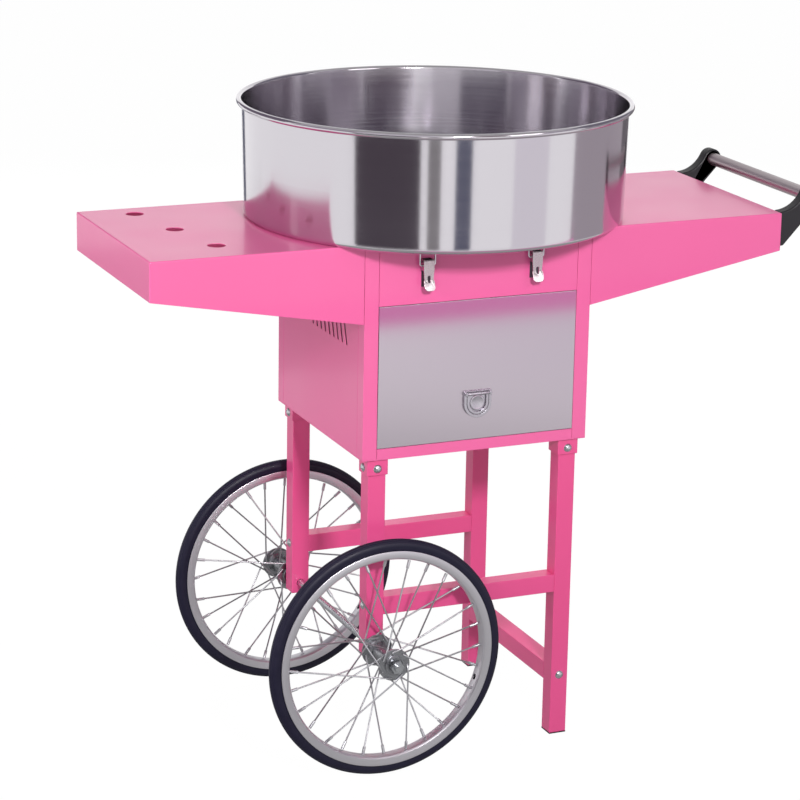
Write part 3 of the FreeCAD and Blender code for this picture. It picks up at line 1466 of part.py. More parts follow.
def make_controls():
    """Voltmeter, two rocker switches, heat knob with its potentiometer, and the mains inlet."""
    bezel = block("MeterBezel", ("meter_width", "bezel + 1", "meter_height"),
                  ("-meter_width / 2", "-bezel - 1", "meter_row - meter_height / 2"))
    case = boxed("MeterCase", "0", "meter_row", "meter_width - 2 * meter_bezel",
                 "meter_height - 2 * meter_bezel", "0", "meter_depth")
    window = boxed("MeterWindow", "0", "meter_row", "meter_width - 2 * meter_window",
                   "meter_height - 2 * meter_window", "2 * bezel", "-meter_glass_depth")
    on_back("voltmeter", cut("Meter", join("MeterBlank", bezel, case), window))

    housings = []
    for name, x in (("Power", "power_switch_x"), ("Heat", "heat_switch_x")):
        flange = boxed(name + "Bezel", x, "control_row", "switch_width + 2 * bezel",
                       "switch_height + 2 * bezel", "bezel", "0")
        case = boxed(name + "Case", x, "control_row", "switch_width", "switch_height", "0", "switch_depth")
        well = boxed(name + "Well", x, "control_row", "switch_width - 2 * bezel",
                     "switch_height - 1.5 * bezel", "2 * bezel", "switch_depth - 3 * bezel")
        housings.append(cut(name + "Housing", join(name + "Blank", flange, case), well))
    inside = ("knob_x", "gauge + fit_gap", "control_row")
    pot = rod("PotCase", "pot_radius", "switch_depth", inside, "+Y")
    pot_hole = rod("PotHole", "knob_shaft + axle_fit", "switch_depth / 2", inside, "+Y")
    housings.append(cut("Pot", pot, pot_hole))
    on_back("control_housings", group("ControlHousings", *housings))

    flange = boxed("InletFlange", "inlet_x", "control_row", "inlet_width + 2 * bezel", "inlet_height + bezel",
                   "bezel", "0")
    case = boxed("InletCase", "inlet_x", "control_row", "inlet_width - 2 * bezel", "inlet_height - 2 * bezel",
                 "0", "switch_depth + 4")
    well = boxed("InletWell", "inlet_x", "control_row", "inlet_width - 4 * bezel", "inlet_height - 4 * bezel",
                 "2 * bezel", "switch_depth")
    shell = cut("InletShell", join("InletBlank", flange, case), well)
    sites = (("-inlet_pin_spread", "-1"), ("inlet_pin_spread", "-1"), ("0", "2.5"))
    pins = [
        block("InletPin%d" % k, ("inlet_pin_width", "inlet_pin_length", "inlet_pin_height"),
              ("inlet_x + %s - inlet_pin_width / 2" % across, "switch_depth - inlet_pin_length + wire_fit",
               "control_row + %s - inlet_pin_height / 2" % up))
        for k, (across, up) in enumerate(sites)
    ]
    on_back("power_inlet", join("Inlet", shell, *pins))

    knob = rod("KnobBody", "knob_radius", "knob_height", ("knob_x", "-fit_gap", "control_row"), "-Y")
    rib = block("KnobPointer",
                ("knob_pointer", "knob_height + knob_pointer_proud", "knob_radius + knob_pointer_over"),
                ("knob_x - knob_pointer / 2", "-fit_gap - knob_height - knob_pointer_proud", "control_row"))
    shaft = rod("KnobShaft", "knob_shaft", "knob_height / 2 + switch_depth / 3",
                ("knob_x", "-knob_height / 2", "control_row"), "+Y")
    on_back("heat_knob", join("HeatKnob", knob, rib, shaft))


def rocker_shape():
    """V-topped rocker about its own pivot: x across, -y out of the panel, z up; rests tipped to off."""
    half = size("switch_width") / 2 - size("bezel") - size("rocker_gap")
    reach = size("switch_height") / 2 - 0.75 * size("bezel") - 2 * size("rocker_gap")
    out = size("bezel") + 1.5
    profile = [(-out - 1, -reach), (-out + 0.6, 0), (-out - 1, reach), (3, reach * 0.5), (3, -reach * 0.5)]
    corners = [Vector(-half, y, z) for y, z in profile]
    face = Part.Face(Part.makePolygon(corners + corners[:1]))
    solid = face.extrude(Vector(2 * half, 0, 0))
    solid.rotate(Vector(0, 0, 0), Vector(1, 0, 0), -size("rocker_tilt"))
    return solid


def make_rockers():
    """The moving caps of the two switches."""
    for label, x in (("power_rocker", "power_switch_x"), ("heat_rocker", "heat_switch_x")):
        cap = document.addObject("Part::Feature", label + "_cap")
        cap.Shape = rocker_shape()
        seat(cap, x, "0", "control_row")
        on_back(label, group(label + "_group", cap))


# ---- build, check and write -------------------------------------------------------------------

def check_and_write():
    """Stop on any failed object, then write one STEP file per sub-part."""
    document.recompute()
    for item in document.Objects:
        if "Invalid" in item.State or "Error" in item.State:
            raise RuntimeError("%s failed: %s" % (item.Label, item.State))
    os.makedirs("parts", exist_ok=True)
    for item in subparts:
        shape = item.Shape
        if shape.isNull() or not shape.isValid() or not shape.Solids:
            raise RuntimeError("%s has no valid solid" % item.Label)
        shape.exportStep(os.path.join("parts", item.Label + ".step"))


def main():
    make_bowl()
    make_catches()
    make_shelf("left_shelf", "left_shelf_length", -1, True)
    make_shelf("right_shelf", "right_shelf_length", 1, False)
    make_handle()
    make_posts()
    make_side_panels()
    make_front_panel()
    make_back_panel()
    make_floor_and_deck()
    make_motor_shelf()
    make_runners()
    make_drawer()
    make_pull()
    make_legs()
    make_rails()
    make_bolts()
    make_feet()
    make_axle()
    make_wheel("front", "-", 90)
    make_wheel("rear", "", -90)
    make_latches()
    make_motor()
    make_spindle()
    make_housing_and_brushes()
    make_head()
    make_controls()
    make_rockers()
    check_and_write()


main()
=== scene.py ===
import json
import logging
import math
from dataclasses import dataclass
from enum import Enum

import bpy
from mathutils import Euler, Matrix, Vector


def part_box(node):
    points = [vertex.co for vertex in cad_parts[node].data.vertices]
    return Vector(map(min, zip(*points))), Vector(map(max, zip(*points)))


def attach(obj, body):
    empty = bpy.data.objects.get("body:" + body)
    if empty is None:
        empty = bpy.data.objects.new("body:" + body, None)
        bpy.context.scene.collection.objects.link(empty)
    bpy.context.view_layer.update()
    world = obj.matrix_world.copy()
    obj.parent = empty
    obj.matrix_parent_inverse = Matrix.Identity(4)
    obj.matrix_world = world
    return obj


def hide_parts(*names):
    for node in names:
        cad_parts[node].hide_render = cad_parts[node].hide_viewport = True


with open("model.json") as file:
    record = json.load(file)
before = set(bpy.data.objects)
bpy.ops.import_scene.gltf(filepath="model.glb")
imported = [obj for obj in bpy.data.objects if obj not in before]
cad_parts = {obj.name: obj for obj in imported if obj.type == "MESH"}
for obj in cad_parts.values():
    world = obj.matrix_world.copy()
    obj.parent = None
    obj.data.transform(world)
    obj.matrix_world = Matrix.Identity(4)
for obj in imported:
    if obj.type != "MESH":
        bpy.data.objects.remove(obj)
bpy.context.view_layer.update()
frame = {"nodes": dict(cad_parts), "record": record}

MM = 0.001
BACKWARDS = (0, 0, 180)
LATCH_SITES = ("front_left", "front_right", "back_left", "back_right")

Node = bpy.types.Node
Socket = bpy.types.NodeSocket
Piece = bpy.types.Object

log = logging.getLogger("floss_cart")


# ---- colours and nodes ----


def linear(code: str) -> tuple[float, float, float, float]:
    """Turn an sRGB hex colour, six digits with a leading hash, into linear light with an alpha of 1."""
    parts = [int(code[k : k + 2], 16) / 255 for k in (1, 3, 5)]
    return (*(c / 12.92 if c <= 0.04045 else ((c + 0.055) / 1.055) ** 2.4 for c in parts), 1.0)


def tune(node: Node, settings: dict) -> Node:
    """Set a node's properties and inputs, and wire the inputs that are given a socket.

    Args:
        node: the node.
        settings: values or output sockets, by property name, input name or input number.

    Returns:
        The node.
    """
    for name, value in settings.items():
        if isinstance(value, Socket):
            node.id_data.links.new(value, node.inputs[name])
        elif isinstance(name, int) or name in node.inputs:
            node.inputs[name].default_value = value
        else:
            setattr(node, name, value)
    return node


def add_node(tree: bpy.types.NodeTree, kind: str, settings: dict | None = None) -> Node:
    """Add one node, whose kind is its type name without ShaderNode, and give it its settings."""
    return tune(tree.nodes.new("ShaderNode" + kind), settings or {})


def reckon(operation: str, first: Socket, second: Socket | float = 0.0) -> Socket:
    """Work a number out by a math node from a socket and a second socket or value."""
    return add_node(first.id_data, "Math", {"operation": operation, 0: first, 1: second}).outputs[0]


def remap(source: Socket, old: tuple, new: tuple, kind: str = "LINEAR") -> Socket:
    """Map a number from its old range to a new one, held at both ends."""
    settings = dict(zip(("Value", "From Min", "From Max", "To Min", "To Max"), (source, *old, *new)))
    return add_node(source.id_data, "MapRange", settings | {"interpolation_type": kind}).outputs[0]


def noise(place: Socket, pitch: float, detail: float, roughness: float = 0.55) -> Socket:
    """Add a noise whose grains measure a pitch in metres, and return its pattern's socket."""
    settings = {"Vector": place, "Scale": 1.0 / pitch, "Detail": detail, "Roughness": roughness}
    return add_node(place.id_data, "TexNoise", settings).outputs["Fac"]


def cover(share: Socket, first: Socket, second: Socket) -> None:
    """Lay a mix of two shaders on the surface in the place of the plain one."""
    mixed = add_node(share.id_data, "MixShader", {0: share, 1: first, 2: second})
    tune(share.id_data.nodes["sheet"], {"Surface": mixed.outputs["Shader"]})


# ---- finishes ----


@dataclass(frozen=True)
class Finish:
    """A surface finish: the numbers that every kind of finish shares."""

    title: str
    colour: str
    roughness: float
    metallic: float = 0.0

    @property
    def tree(self) -> bpy.types.NodeTree:
        """The node tree of this finish's material."""
        return bpy.data.materials[self.title].node_tree

    @property
    def shader(self) -> Node:
        """The principled shader of this finish's material."""
        return self.tree.nodes["shader"]

    def material(self) -> bpy.types.Material:
        """Make the finish's material on first use.

        Returns:
            The material.
        """
        if self.title not in bpy.data.materials:
            bpy.data.materials.new(self.title).use_nodes = True
            self.tree.nodes.clear()
            base = {"Base Color": linear(self.colour), "Roughness": self.roughness, "Metallic": self.metallic}
            shader = add_node(self.tree, "BsdfPrincipled", {"name": "shader"} | base)
            add_node(self.tree, "OutputMaterial", {"name": "sheet", "Surface": shader.outputs["BSDF"]})
            self.detail()
        return bpy.data.materials[self.title]

    def detail(self) -> None:
        """Add this kind of finish's own pattern; the plain finish has none."""

    def spot(self) -> Socket:
        """The place of a point in object space."""
        return add_node(self.tree, "TexCoord").outputs["Object"]

    def grain(self, pitch: float, detail: float = 3.0, stretch: tuple = (1, 1, 1)) -> Socket:
        """Add a noise of a pitch in metres in object space, finer along each axis by the stretch."""
        scaled = add_node(self.tree, "Mapping", {"Vector": self.spot(), "Scale": stretch})
        return noise(scaled.outputs["Vector"], pitch, detail)

    def vary(self, pattern: Socket, low: float, high: float) -> None:
        """Let a pattern move the roughness between two shares of the finish's own."""
        moved = remap(pattern, (0.3, 0.7), (self.roughness * low, self.roughness * high))
        tune(self.shader, {"Roughness": moved})

    def tint(self, share: Socket, other: str) -> None:
        """Mix the finish's colour with another one by a share."""
        colours = {"data_type": "RGBA", "Factor": share, 6: linear(self.colour), 7: linear(other)}
        tune(self.shader, {"Base Color": add_node(self.tree, "Mix", colours).outputs[2]})

    def bump(self, pattern: Socket, height: float, strength: float) -> None:
        """Raise the surface by a pattern, by a height in metres."""
        raised = add_node(self.tree, "Bump", {"Height": pattern, "Strength": strength, "Distance": height})
        tune(self.shader, {"Normal": raised.outputs["Normal"]})


@dataclass(frozen=True)
class PowderCoat(Finish):
    """Polyester powder coat, sprayed on sheet steel and baked: glossy, with a faint orange peel."""

    other: str = "#EE70A9"
    peel: float = 2.2 * MM
    peel_height: float = 0.010 * MM
    drift: float = 120 * MM
    coat: float = 0.42
    coat_roughness: float = 0.12

    def detail(self) -> None:
        """Waves of about two millimetres in the gloss, and broad soft drifts in colour and roughness."""
        self.bump(self.grain(self.peel, 1.0), self.peel_height, 0.35)
        cloud = self.grain(self.drift, 1.0)
        self.vary(cloud, 0.9, 1.12)
        self.tint(remap(cloud, (0.35, 0.75), (0.0, 0.12)), self.other)
        tune(self.shader, {"Coat Weight": self.coat, "Coat Roughness": self.coat_roughness, "Coat IOR": 1.5})


@dataclass(frozen=True)
class Board(Finish):
    """Cloth stretched on a studio board: an even shade, whatever light falls on it."""

    def detail(self) -> None:
        """Let the cloth shine by its own shade, so that its mirror image is even."""
        glow = {"Emission Color": linear(self.colour), "Emission Strength": 1.0}
        tune(self.shader, {"Base Color": linear("#000000")} | glow)


@dataclass(frozen=True)
class FadingBoard(Board):
    """Board cloth that shows only in mirrors that stand well away from it, as the closed drawer does."""

    gone: float = 0.16
    full: float = 0.26

    def detail(self) -> None:
        """Fade the cloth out of mirrors that come closer than the full distance, in metres."""
        super().detail()
        reach = add_node(self.tree, "LightPath").outputs["Ray Length"]
        share = remap(reach, (self.gone, self.full), (0.0, 1.0), "SMOOTHSTEP")
        cover(share, add_node(self.tree, "BsdfTransparent").outputs["BSDF"], self.shader.outputs["BSDF"])


@dataclass(frozen=True)
class Backdrop(Finish):
    """Studio paper: plain white to the camera, matt grey to other light.

    Mirror rays see a painted pool of light on it: painted bright far from the cart, and painted shade close
    to it in place of the lamps' shade.
    """

    # strengths and radii of the painted pool of light that mirror rays see: painted shade near the cart,
    # bright further out
    lights: tuple = (0.4, 1.1)
    painted_pool_radii: tuple = (0.9, 2.2)
    glow: float = 1.06
    veil: float = 0.93

    def detail(self) -> None:
        """Mix the matt paper with plain white for camera rays, and with a painted pool of light for mirror
        rays.
        """
        rays = add_node(self.tree, "LightPath").outputs
        seen, glossy = rays["Is Camera Ray"], rays["Is Glossy Ray"]
        reach = add_node(self.tree, "VectorMath", {"operation": "LENGTH", 0: self.spot()}).outputs["Value"]
        # painted pool of light for mirror rays: dim near the cart as painted shade, bright further out
        painted_light_pool = reckon("MULTIPLY", remap(reach, self.painted_pool_radii, self.lights, "SMOOTHSTEP"), glossy)
        strength = reckon("MAXIMUM", painted_light_pool, reckon("MULTIPLY", seen, self.glow))
        white = add_node(self.tree, "Emission", {"Color": linear("#FFFFFF"), "Strength": strength})
        share = reckon("MAXIMUM", reckon("MULTIPLY", seen, self.veil), glossy)
        cover(share, self.shader.outputs["BSDF"], white.outputs["Emission"])


class Brushing(Enum):
    """Which way a metal's polishing marks run, as the stretch of the grain along X, Y and Z."""

    ACROSS_Y = (1.0, 0.02, 1.0)
    UPRIGHT = (1.0, 1.0, 0.02)
    EVEN = (1.0, 1.0, 1.0)


@dataclass(frozen=True)
class BrushedMetal(Finish):
    """Rolled or drawn metal with fine polishing marks that run one way."""

    marks: Brushing = Brushing.UPRIGHT
    pitch: float = 0.9 * MM
    depth: float = 0.006 * MM
    stretch_highlights: float = 0.45
    spread: float = 0.22

    def detail(self) -> None:
        """Fine streaks in roughness and height; marks closer than a millimetre are drawn at 0.9 mm."""
        streaks = self.grain(self.pitch, 2.0, self.marks.value)
        self.vary(streaks, 1 - self.spread, 1 + self.spread)
        self.bump(streaks, self.depth, 0.5)
        tune(self.shader, {"Anisotropic": self.stretch_highlights})


class Lathe(Enum):
    """The axis that a turned or rolled piece was made about, with the turn that stands it upright."""

    UPRIGHT = ("Z", 0.0)
    LYING = ("Y", 90.0)


@dataclass(frozen=True)
class SpunMetal(Finish):
    """Metal spun, turned or rolled about an axis: its marks run round that axis."""

    centre: tuple = (0.0, 0.0, 0.0)
    stretch_highlights: float = 0.7
    lathe: Lathe = Lathe.UPRIGHT
    pitch: float = 1.4 * MM
    depth: float = 0.0025 * MM

    def detail(self) -> None:
        """Rings stacked along the wall and across the floor, and highlights drawn out across them."""
        axis, lean = self.lathe.value
        from_centre = {"operation": "SUBTRACT", 0: self.spot(), 1: self.centre}
        centred = add_node(self.tree, "VectorMath", from_centre).outputs["Vector"]
        upright = add_node(self.tree, "Mapping", {"Vector": centred, "Rotation": (math.radians(lean), 0, 0)})
        parts = add_node(self.tree, "SeparateXYZ", {"Vector": upright.outputs["Vector"]}).outputs
        squares = [reckon("MULTIPLY", parts[way], parts[way]) for way in ("X", "Y")]
        radius = reckon("SQRT", reckon("ADD", *squares))
        rings = add_node(self.tree, "CombineXYZ", {"X": radius, "Y": parts["Z"]}).outputs["Vector"]
        streaks = noise(rings, self.pitch, 2.0, 0.6)
        self.vary(streaks, 0.8, 1.25)
        self.bump(streaks, self.depth, 0.5)
        about = {"direction_type": "RADIAL", "axis": axis}
        tangent = add_node(self.tree, "Tangent", about).outputs["Tangent"]
        drawn_out = {"Anisotropic": self.stretch_highlights, "Anisotropic Rotation": 0.25}
        tune(self.shader, drawn_out | {"Tangent": tangent})


@dataclass(frozen=True)
class PlatedMetal(Finish):
    """Electroplated steel: mirror bright, with faint clouding."""

    cloud: float = 6 * MM

    def detail(self) -> None:
        """Clouds of a few millimetres in the roughness, as handled plating has."""
        self.vary(self.grain(self.cloud), 0.7, 1.5)


@dataclass(frozen=True)
class MouldedPlastic(Finish):
    """Injection moulded plastic with a fine spark-eroded texture."""

    texture: float = 0.7 * MM
    depth: float = 0.02 * MM
    cloud: float = 14 * MM

    def detail(self) -> None:
        """A fine even grain, drawn at 0.7 mm so that it shows, and faint clouds in the gloss."""
        self.bump(self.grain(self.texture, 2.0), self.depth, 0.35)
        self.vary(self.grain(self.cloud), 0.85, 1.15)


@dataclass(frozen=True)
class TyreRubber(Finish):
    """Vulcanised black rubber from a polished mould, lightly dusty."""

    dust: str = "#232036"
    cloud: float = 22 * MM
    texture: float = 0.9 * MM
    depth: float = 0.03 * MM
    shine: float = 0.32

    def detail(self) -> None:
        """Dust clouds of some centimetres and a matt grain."""
        cloud = self.grain(self.cloud)
        self.tint(remap(cloud, (0.4, 0.8), (0.0, 0.22)), self.dust)
        self.vary(cloud, 0.85, 1.2)
        self.bump(self.grain(self.texture, 2.0), self.depth, 0.4)
        tune(self.shader, {"Specular IOR Level": self.shine})


# lit and shaded copies of one pink: the sheets' pink is lightened a little as painted sheen, and the tubes'
# darker pink is painted shade for the cabinet's shadow on the legs and rails
PINK = PowderCoat("pink_powder_coat", "#EB649F", 0.36)
PINK_TUBE_SHADED = PowderCoat("pink_powder_coat_tube_painted_shade", "#E6508D", 0.36, other="#E85A97")
# the steel's lilac tint is a painted reflection of the pink room round the cart
STAINLESS_SHEET_ROSE_REFLECTION = BrushedMetal(
    "stainless_sheet_rolled_rose_reflection", "#C5BBC4", 0.21, 1.0, depth=0.0004 * MM, stretch_highlights=0.8, spread=0.05
)
STAINLESS_TUBE = BrushedMetal(
    "stainless_tube_drawn", "#BDB2B6", 0.42, 1.0, Brushing.ACROSS_Y, depth=0.001 * MM, spread=0.06
)
ZINC = BrushedMetal("zinc_plated_steel", "#A9ABB0", 0.38, 1.0, Brushing.EVEN, 3.0 * MM)
CHROME = PlatedMetal("chrome_plated_steel", "#CFCFD3", 0.14, 1.0)
# dark grey in place of the latch's bright plating: painted shade for the dark gap behind the lever and its
# lock slot
LATCH_BASE_SHADED = PlatedMetal("latch_base_painted_shade", "#5E5A60", 0.42, 1.0)
LATCH_STEEL = PlatedMetal("nickel_plated_latch", "#BDB3B6", 0.24, 1.0)
PULL_STEEL = PlatedMetal("satin_plated_pull", "#C2BEC6", 0.26, 1.0)
HUB_ZINC = PlatedMetal("zinc_plated_hub", "#9FA0A4", 0.30, 1.0)
BOLT_ZINC = PlatedMetal("zinc_plated_bolts", "#C4C6CA", 0.22, 1.0)
SPOKE_STEEL = PlatedMetal("stainless_spoke_wire", "#CCCCD0", 0.46, 1.0, 90 * MM)
RUBBER = TyreRubber("tyre_rubber_moulded", "#131026", 0.46)
BLACK_NYLON = MouldedPlastic("black_nylon_moulded", "#121016", 0.44)
BLACK_ABS = MouldedPlastic("black_abs_gloss", "#0E0E0F", 0.22, 0.0, 1.0 * MM, 0.005 * MM)
RED_ABS = MouldedPlastic("red_rocker_gloss", "#B01212", 0.22, 0.0, 1.0 * MM, 0.005 * MM)
WHITE_PRINT = MouldedPlastic("white_dial_print", "#F2F1EC", 0.45, 0.0, 1.0 * MM, 0.003 * MM)
ENAMEL = MouldedPlastic("motor_enamel", "#2B2D31", 0.35, 0.0, 1.5 * MM, 0.01 * MM)
BRASS = PlatedMetal("slip_ring_brass", "#C9A24F", 0.25, 1.0)
GRAPHITE = MouldedPlastic("carbon_brush_graphite", "#232325", 0.55)


# ---- shaping tools ----


def begin() -> None:
    """Leave edit mode and deselect all, so that operators touch only what comes next."""
    if bpy.context.object and bpy.context.object.mode != "OBJECT":
        bpy.ops.object.mode_set(mode="OBJECT")
    bpy.ops.object.select_all(action="DESELECT")


def activate(piece: Piece) -> None:
    """Make one piece the only selected and the active one."""
    begin()
    piece.select_set(True)
    bpy.context.view_layer.objects.active = piece


def settle(piece: Piece, centre: Vector | tuple = (0, 0, 0), turn: tuple = (0, 0, 0)) -> Piece:
    """Move a piece drawn about the origin to its place, and put the place into its mesh.

    Args:
        piece: the piece.
        centre: where its own origin goes.
        turn: its turn about X, Y and Z in degrees.

    Returns:
        The piece.
    """
    activate(piece)
    piece.rotation_euler = Euler([math.radians(angle) for angle in turn])
    piece.location = Vector(centre)
    bpy.ops.object.transform_apply(location=True, rotation=True, scale=True)
    return piece


def smooth(piece: Piece, angle: float = 35) -> None:
    """Shade a piece smooth, with edges kept where the surface turns by more than an angle."""
    activate(piece)
    bpy.ops.object.shade_smooth_by_angle(angle=math.radians(angle))


def modify(piece: Piece, kind: str, **settings: object) -> None:
    """Put a modifier on a piece and apply it.

    Args:
        piece: the piece.
        kind: the modifier's type.
        settings: its properties.
    """
    activate(piece)
    added = piece.modifiers.new(kind.lower(), kind)
    for name, value in settings.items():
        setattr(added, name, value)
    bpy.ops.object.modifier_apply(modifier=added.name)


def even_out(piece: Piece) -> None:
    """Shade a rounded sheet so that its flats stay flat and only the rounded edges turn the light."""
    smooth(piece, 30)
    modify(piece, "WEIGHTED_NORMAL", weight=100, keep_sharp=True)


def round_off(piece: Piece, width: float, segments: int = 3, angle: float = 35) -> None:
    """Round the edges that turn by more than an angle, by a bevel of a width."""
    limit = {"limit_method": "ANGLE", "angle_limit": math.radians(angle)}
    modify(piece, "BEVEL", width=width, segments=segments, use_clamp_overlap=False, **limit)
    even_out(piece)


def open_mesh() -> None:
    """Enter the active piece's edit mode with all of it selected."""
    bpy.ops.object.mode_set(mode="EDIT")
    bpy.ops.mesh.select_all(action="SELECT")


def start_point() -> Piece:
    """Begin a mesh as a single vertex at the origin, in edit mode.

    Returns:
        The new piece.
    """
    begin()
    bpy.ops.mesh.primitive_plane_add(size=MM, location=(0, 0, 0))
    open_mesh()
    bpy.ops.mesh.merge(type="CENTER")
    return bpy.context.object


def draw_line(points: list[Vector], close: bool) -> None:
    """Extrude the selected vertex from point to point.

    Args:
        points: the corners, the first one included.
        close: whether to come back to the first corner.
    """
    bpy.ops.transform.translate(value=points[0])
    for here, there in zip(points, points[1:] + ([points[0]] if close else [])):
        bpy.ops.mesh.extrude_region_move(TRANSFORM_OT_translate={"value": there - here})
    bpy.ops.mesh.select_all(action="SELECT")
    bpy.ops.mesh.remove_doubles(threshold=0.001 * MM)


def close_up() -> None:
    """Turn a closed mesh's faces outwards and leave edit mode."""
    bpy.ops.mesh.select_all(action="SELECT")
    bpy.ops.mesh.normals_make_consistent(inside=False)
    bpy.ops.object.mode_set(mode="OBJECT")


def lathe(profile: list[tuple], steps: int) -> Piece:
    """Spin a closed profile round the Z axis.

    Args:
        profile: radius and height of each corner, in metres.
        steps: faces round the piece.

    Returns:
        The turned piece, about the origin.
    """
    piece = start_point()
    draw_line([Vector((radius, 0, height)) for radius, height in profile], True)
    bpy.ops.mesh.spin(steps=steps, angle=math.tau, center=(0, 0, 0), axis=(0, 0, 1))
    bpy.ops.mesh.select_all(action="SELECT")
    bpy.ops.mesh.remove_doubles(threshold=0.005 * MM)
    close_up()
    smooth(piece)
    return piece


def plate(outline: list[tuple], thickness: float) -> Piece:
    """Fill an outline in the XZ plane and give it thickness towards +Y.

    Args:
        outline: x and z of each corner, in metres.
        thickness: metres.

    Returns:
        The plate, with its front at y = 0.
    """
    piece = start_point()
    draw_line([Vector((x, 0, z)) for x, z in outline], True)
    bpy.ops.mesh.edge_face_add()
    bpy.ops.mesh.extrude_region_move(TRANSFORM_OT_translate={"value": (0, thickness, 0)})
    close_up()
    return piece


def slab(low: Vector | tuple, high: Vector | tuple, rounding: float = 0.0) -> Piece:
    """Make a box between two corners with rounded edges.

    Args:
        low: lowest corner.
        high: highest corner.
        rounding: bevel width in metres.

    Returns:
        The box.
    """
    low, high = Vector(low), Vector(high)
    begin()
    bpy.ops.mesh.primitive_cube_add(size=1, location=(low + high) / 2)
    piece = bpy.context.object
    piece.scale = high - low
    bpy.ops.object.transform_apply(location=True, rotation=True, scale=True)
    if rounding:
        round_off(piece, rounding)
    return piece


def wire(points: list[Vector], radius: float, bend: float) -> Piece:
    """Bend a round wire along a line with rounded corners.

    Args:
        points: corners of the wire's centre line.
        radius: the wire's radius.
        bend: radius of the corners.

    Returns:
        The wire as a mesh with closed ends.
    """
    start_point()
    draw_line(points, False)
    bpy.ops.mesh.bevel(affect="VERTICES", offset=bend, segments=6, profile=0.5)
    bpy.ops.object.mode_set(mode="OBJECT")
    bpy.ops.object.convert(target="CURVE")
    curve = bpy.context.object.data
    curve.bevel_depth = radius
    curve.bevel_resolution = 3
    curve.use_fill_caps = True
    bpy.ops.object.convert(target="MESH")
    smooth(bpy.context.object, 50)
    return bpy.context.object


def merge(pieces: list[Piece]) -> Piece:
    """Join several meshes into one piece.

    Args:
        pieces: meshes; the first one takes in the rest.

    Returns:
        The joined piece.
    """
    activate(pieces[0])
    for piece in pieces:
        piece.select_set(True)
    bpy.ops.object.join()
    return pieces[0]


def arc(centre: tuple, radius: float, start: float, end: float, steps: int) -> list[tuple]:
    """Points of an arc in a flat outline.

    Args:
        centre: the arc's middle.
        radius: metres.
        start: first angle in degrees.
        end: last angle in degrees.
        steps: how many steps between them.

    Returns:
        The points, both ends included.
    """
    angles = [math.radians(start + (end - start) * k / steps) for k in range(steps + 1)]
    return [(centre[0] + radius * math.cos(a), centre[1] + radius * math.sin(a)) for a in angles]


def paint(piece: Piece, finish: Finish) -> None:
    """Give a piece one finish all over."""
    piece.data.materials.clear()
    piece.data.materials.append(finish.material())


def dress(node: str, finish: Finish) -> None:
    """Give a CAD node its finish."""
    for place in frame["nodes"][node].material_slots:
        place.material = finish.material()


def fit(piece: Piece, name: str, finish: Finish, body: str, slot: str, *nodes: str) -> None:
    """Name and finish a new piece and hang it on its body.

    Args:
        piece: the new piece.
        name: the name that it gets.
        finish: its finish.
        body: the body that it rides on.
        slot: the record's material slot; not used.
        nodes: CAD nodes that it stands for.
    """
    piece.name = piece.data.name = name
    paint(piece, finish)
    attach(piece, body)
    if nodes:
        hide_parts(*nodes)
    log.info("%s rides on %s", name, body)


def soften(node: str, width: float, segments: int = 2) -> Piece:
    """Copy a CAD node as one closed mesh and round its edges, as folding or moulding leaves them.

    Args:
        node: the CAD node; it is left as it is.
        width: bevel width in metres, or 0 for a piece that is only shaded smooth.
        segments: faces across a rounded edge.

    Returns:
        The rounded copy.
    """
    activate(frame["nodes"][node])
    bpy.ops.object.duplicate(linked=False)
    piece = bpy.context.object
    open_mesh()
    bpy.ops.mesh.remove_doubles(threshold=0.01 * MM)
    bpy.ops.mesh.dissolve_limited(angle_limit=math.radians(0.5))
    bpy.ops.object.mode_set(mode="OBJECT")
    if width:
        round_off(piece, width, segments, 40)
    else:
        smooth(piece, 60)
    return piece


def fold(piece: Piece, height: float, angle: float, above: bool = False) -> None:
    """Fold a sheet that stands in the XZ plane about a line along X on its front.

    Args:
        piece: the sheet.
        height: z of the fold.
        angle: degrees; a positive angle swings the lower part forwards or the upper part back.
        above: whether the upper part moves.
    """
    activate(piece)
    open_mesh()
    bpy.ops.mesh.bisect(plane_co=(0, 0, height), plane_no=(0, 0, 1))
    bpy.ops.object.mode_set(mode="OBJECT")
    swing = Matrix.Rotation(math.radians(-angle), 4, "X")
    hinge = Vector((0, 0, height))
    for point in piece.data.vertices:
        if (point.co.z - height) * (1 if above else -1) > 0.001 * MM:
            point.co = hinge + swing @ (point.co - hinge)


def pierce(piece: Piece, cutter: Piece) -> None:
    """Cut one mesh out of another and drop the cutter."""
    modify(piece, "BOOLEAN", object=cutter, operation="DIFFERENCE", solver="EXACT")
    bpy.data.objects.remove(cutter, do_unlink=True)


def mirrored(upper: list[tuple]) -> list[tuple]:
    """The lower half of an outline that is the same below as above, in order."""
    return [(radius, -height) for radius, height in reversed(upper)]


def round_bar(radius: float, length: float, edge: float, bore: float = 0.0) -> Piece:
    """Turn a bar or tube with rounded ends, lying along X about the origin.

    Args:
        radius: outer radius.
        length: over both ends.
        edge: how much the ends are rounded.
        bore: radius of the hole along it, or 0.

    Returns:
        The bar.
    """
    upper = [(bore, length / 2)] + arc((radius - edge, length / 2 - edge), edge, 0, 90, 3)[::-1]
    return settle(lathe(upper + mirrored(upper), 24), turn=(0, 90, 0))


def cup_outline(half: float, above: float, steps: int = 24) -> list[tuple]:
    """Outline of a plate with a half round foot and straight sides, about the foot's middle."""
    return [(-half, above)] + arc((0, 0), half, -180, 0, steps) + [(half, above)]


def bearing(azimuth: float, elevation: float = 0.0) -> Vector:
    """The way from the cart towards an azimuth, counted from its front, and an elevation in degrees."""
    a, e = math.radians(azimuth), math.radians(elevation)
    return Vector((math.sin(a) * math.cos(e), -math.cos(a) * math.cos(e), math.sin(e)))


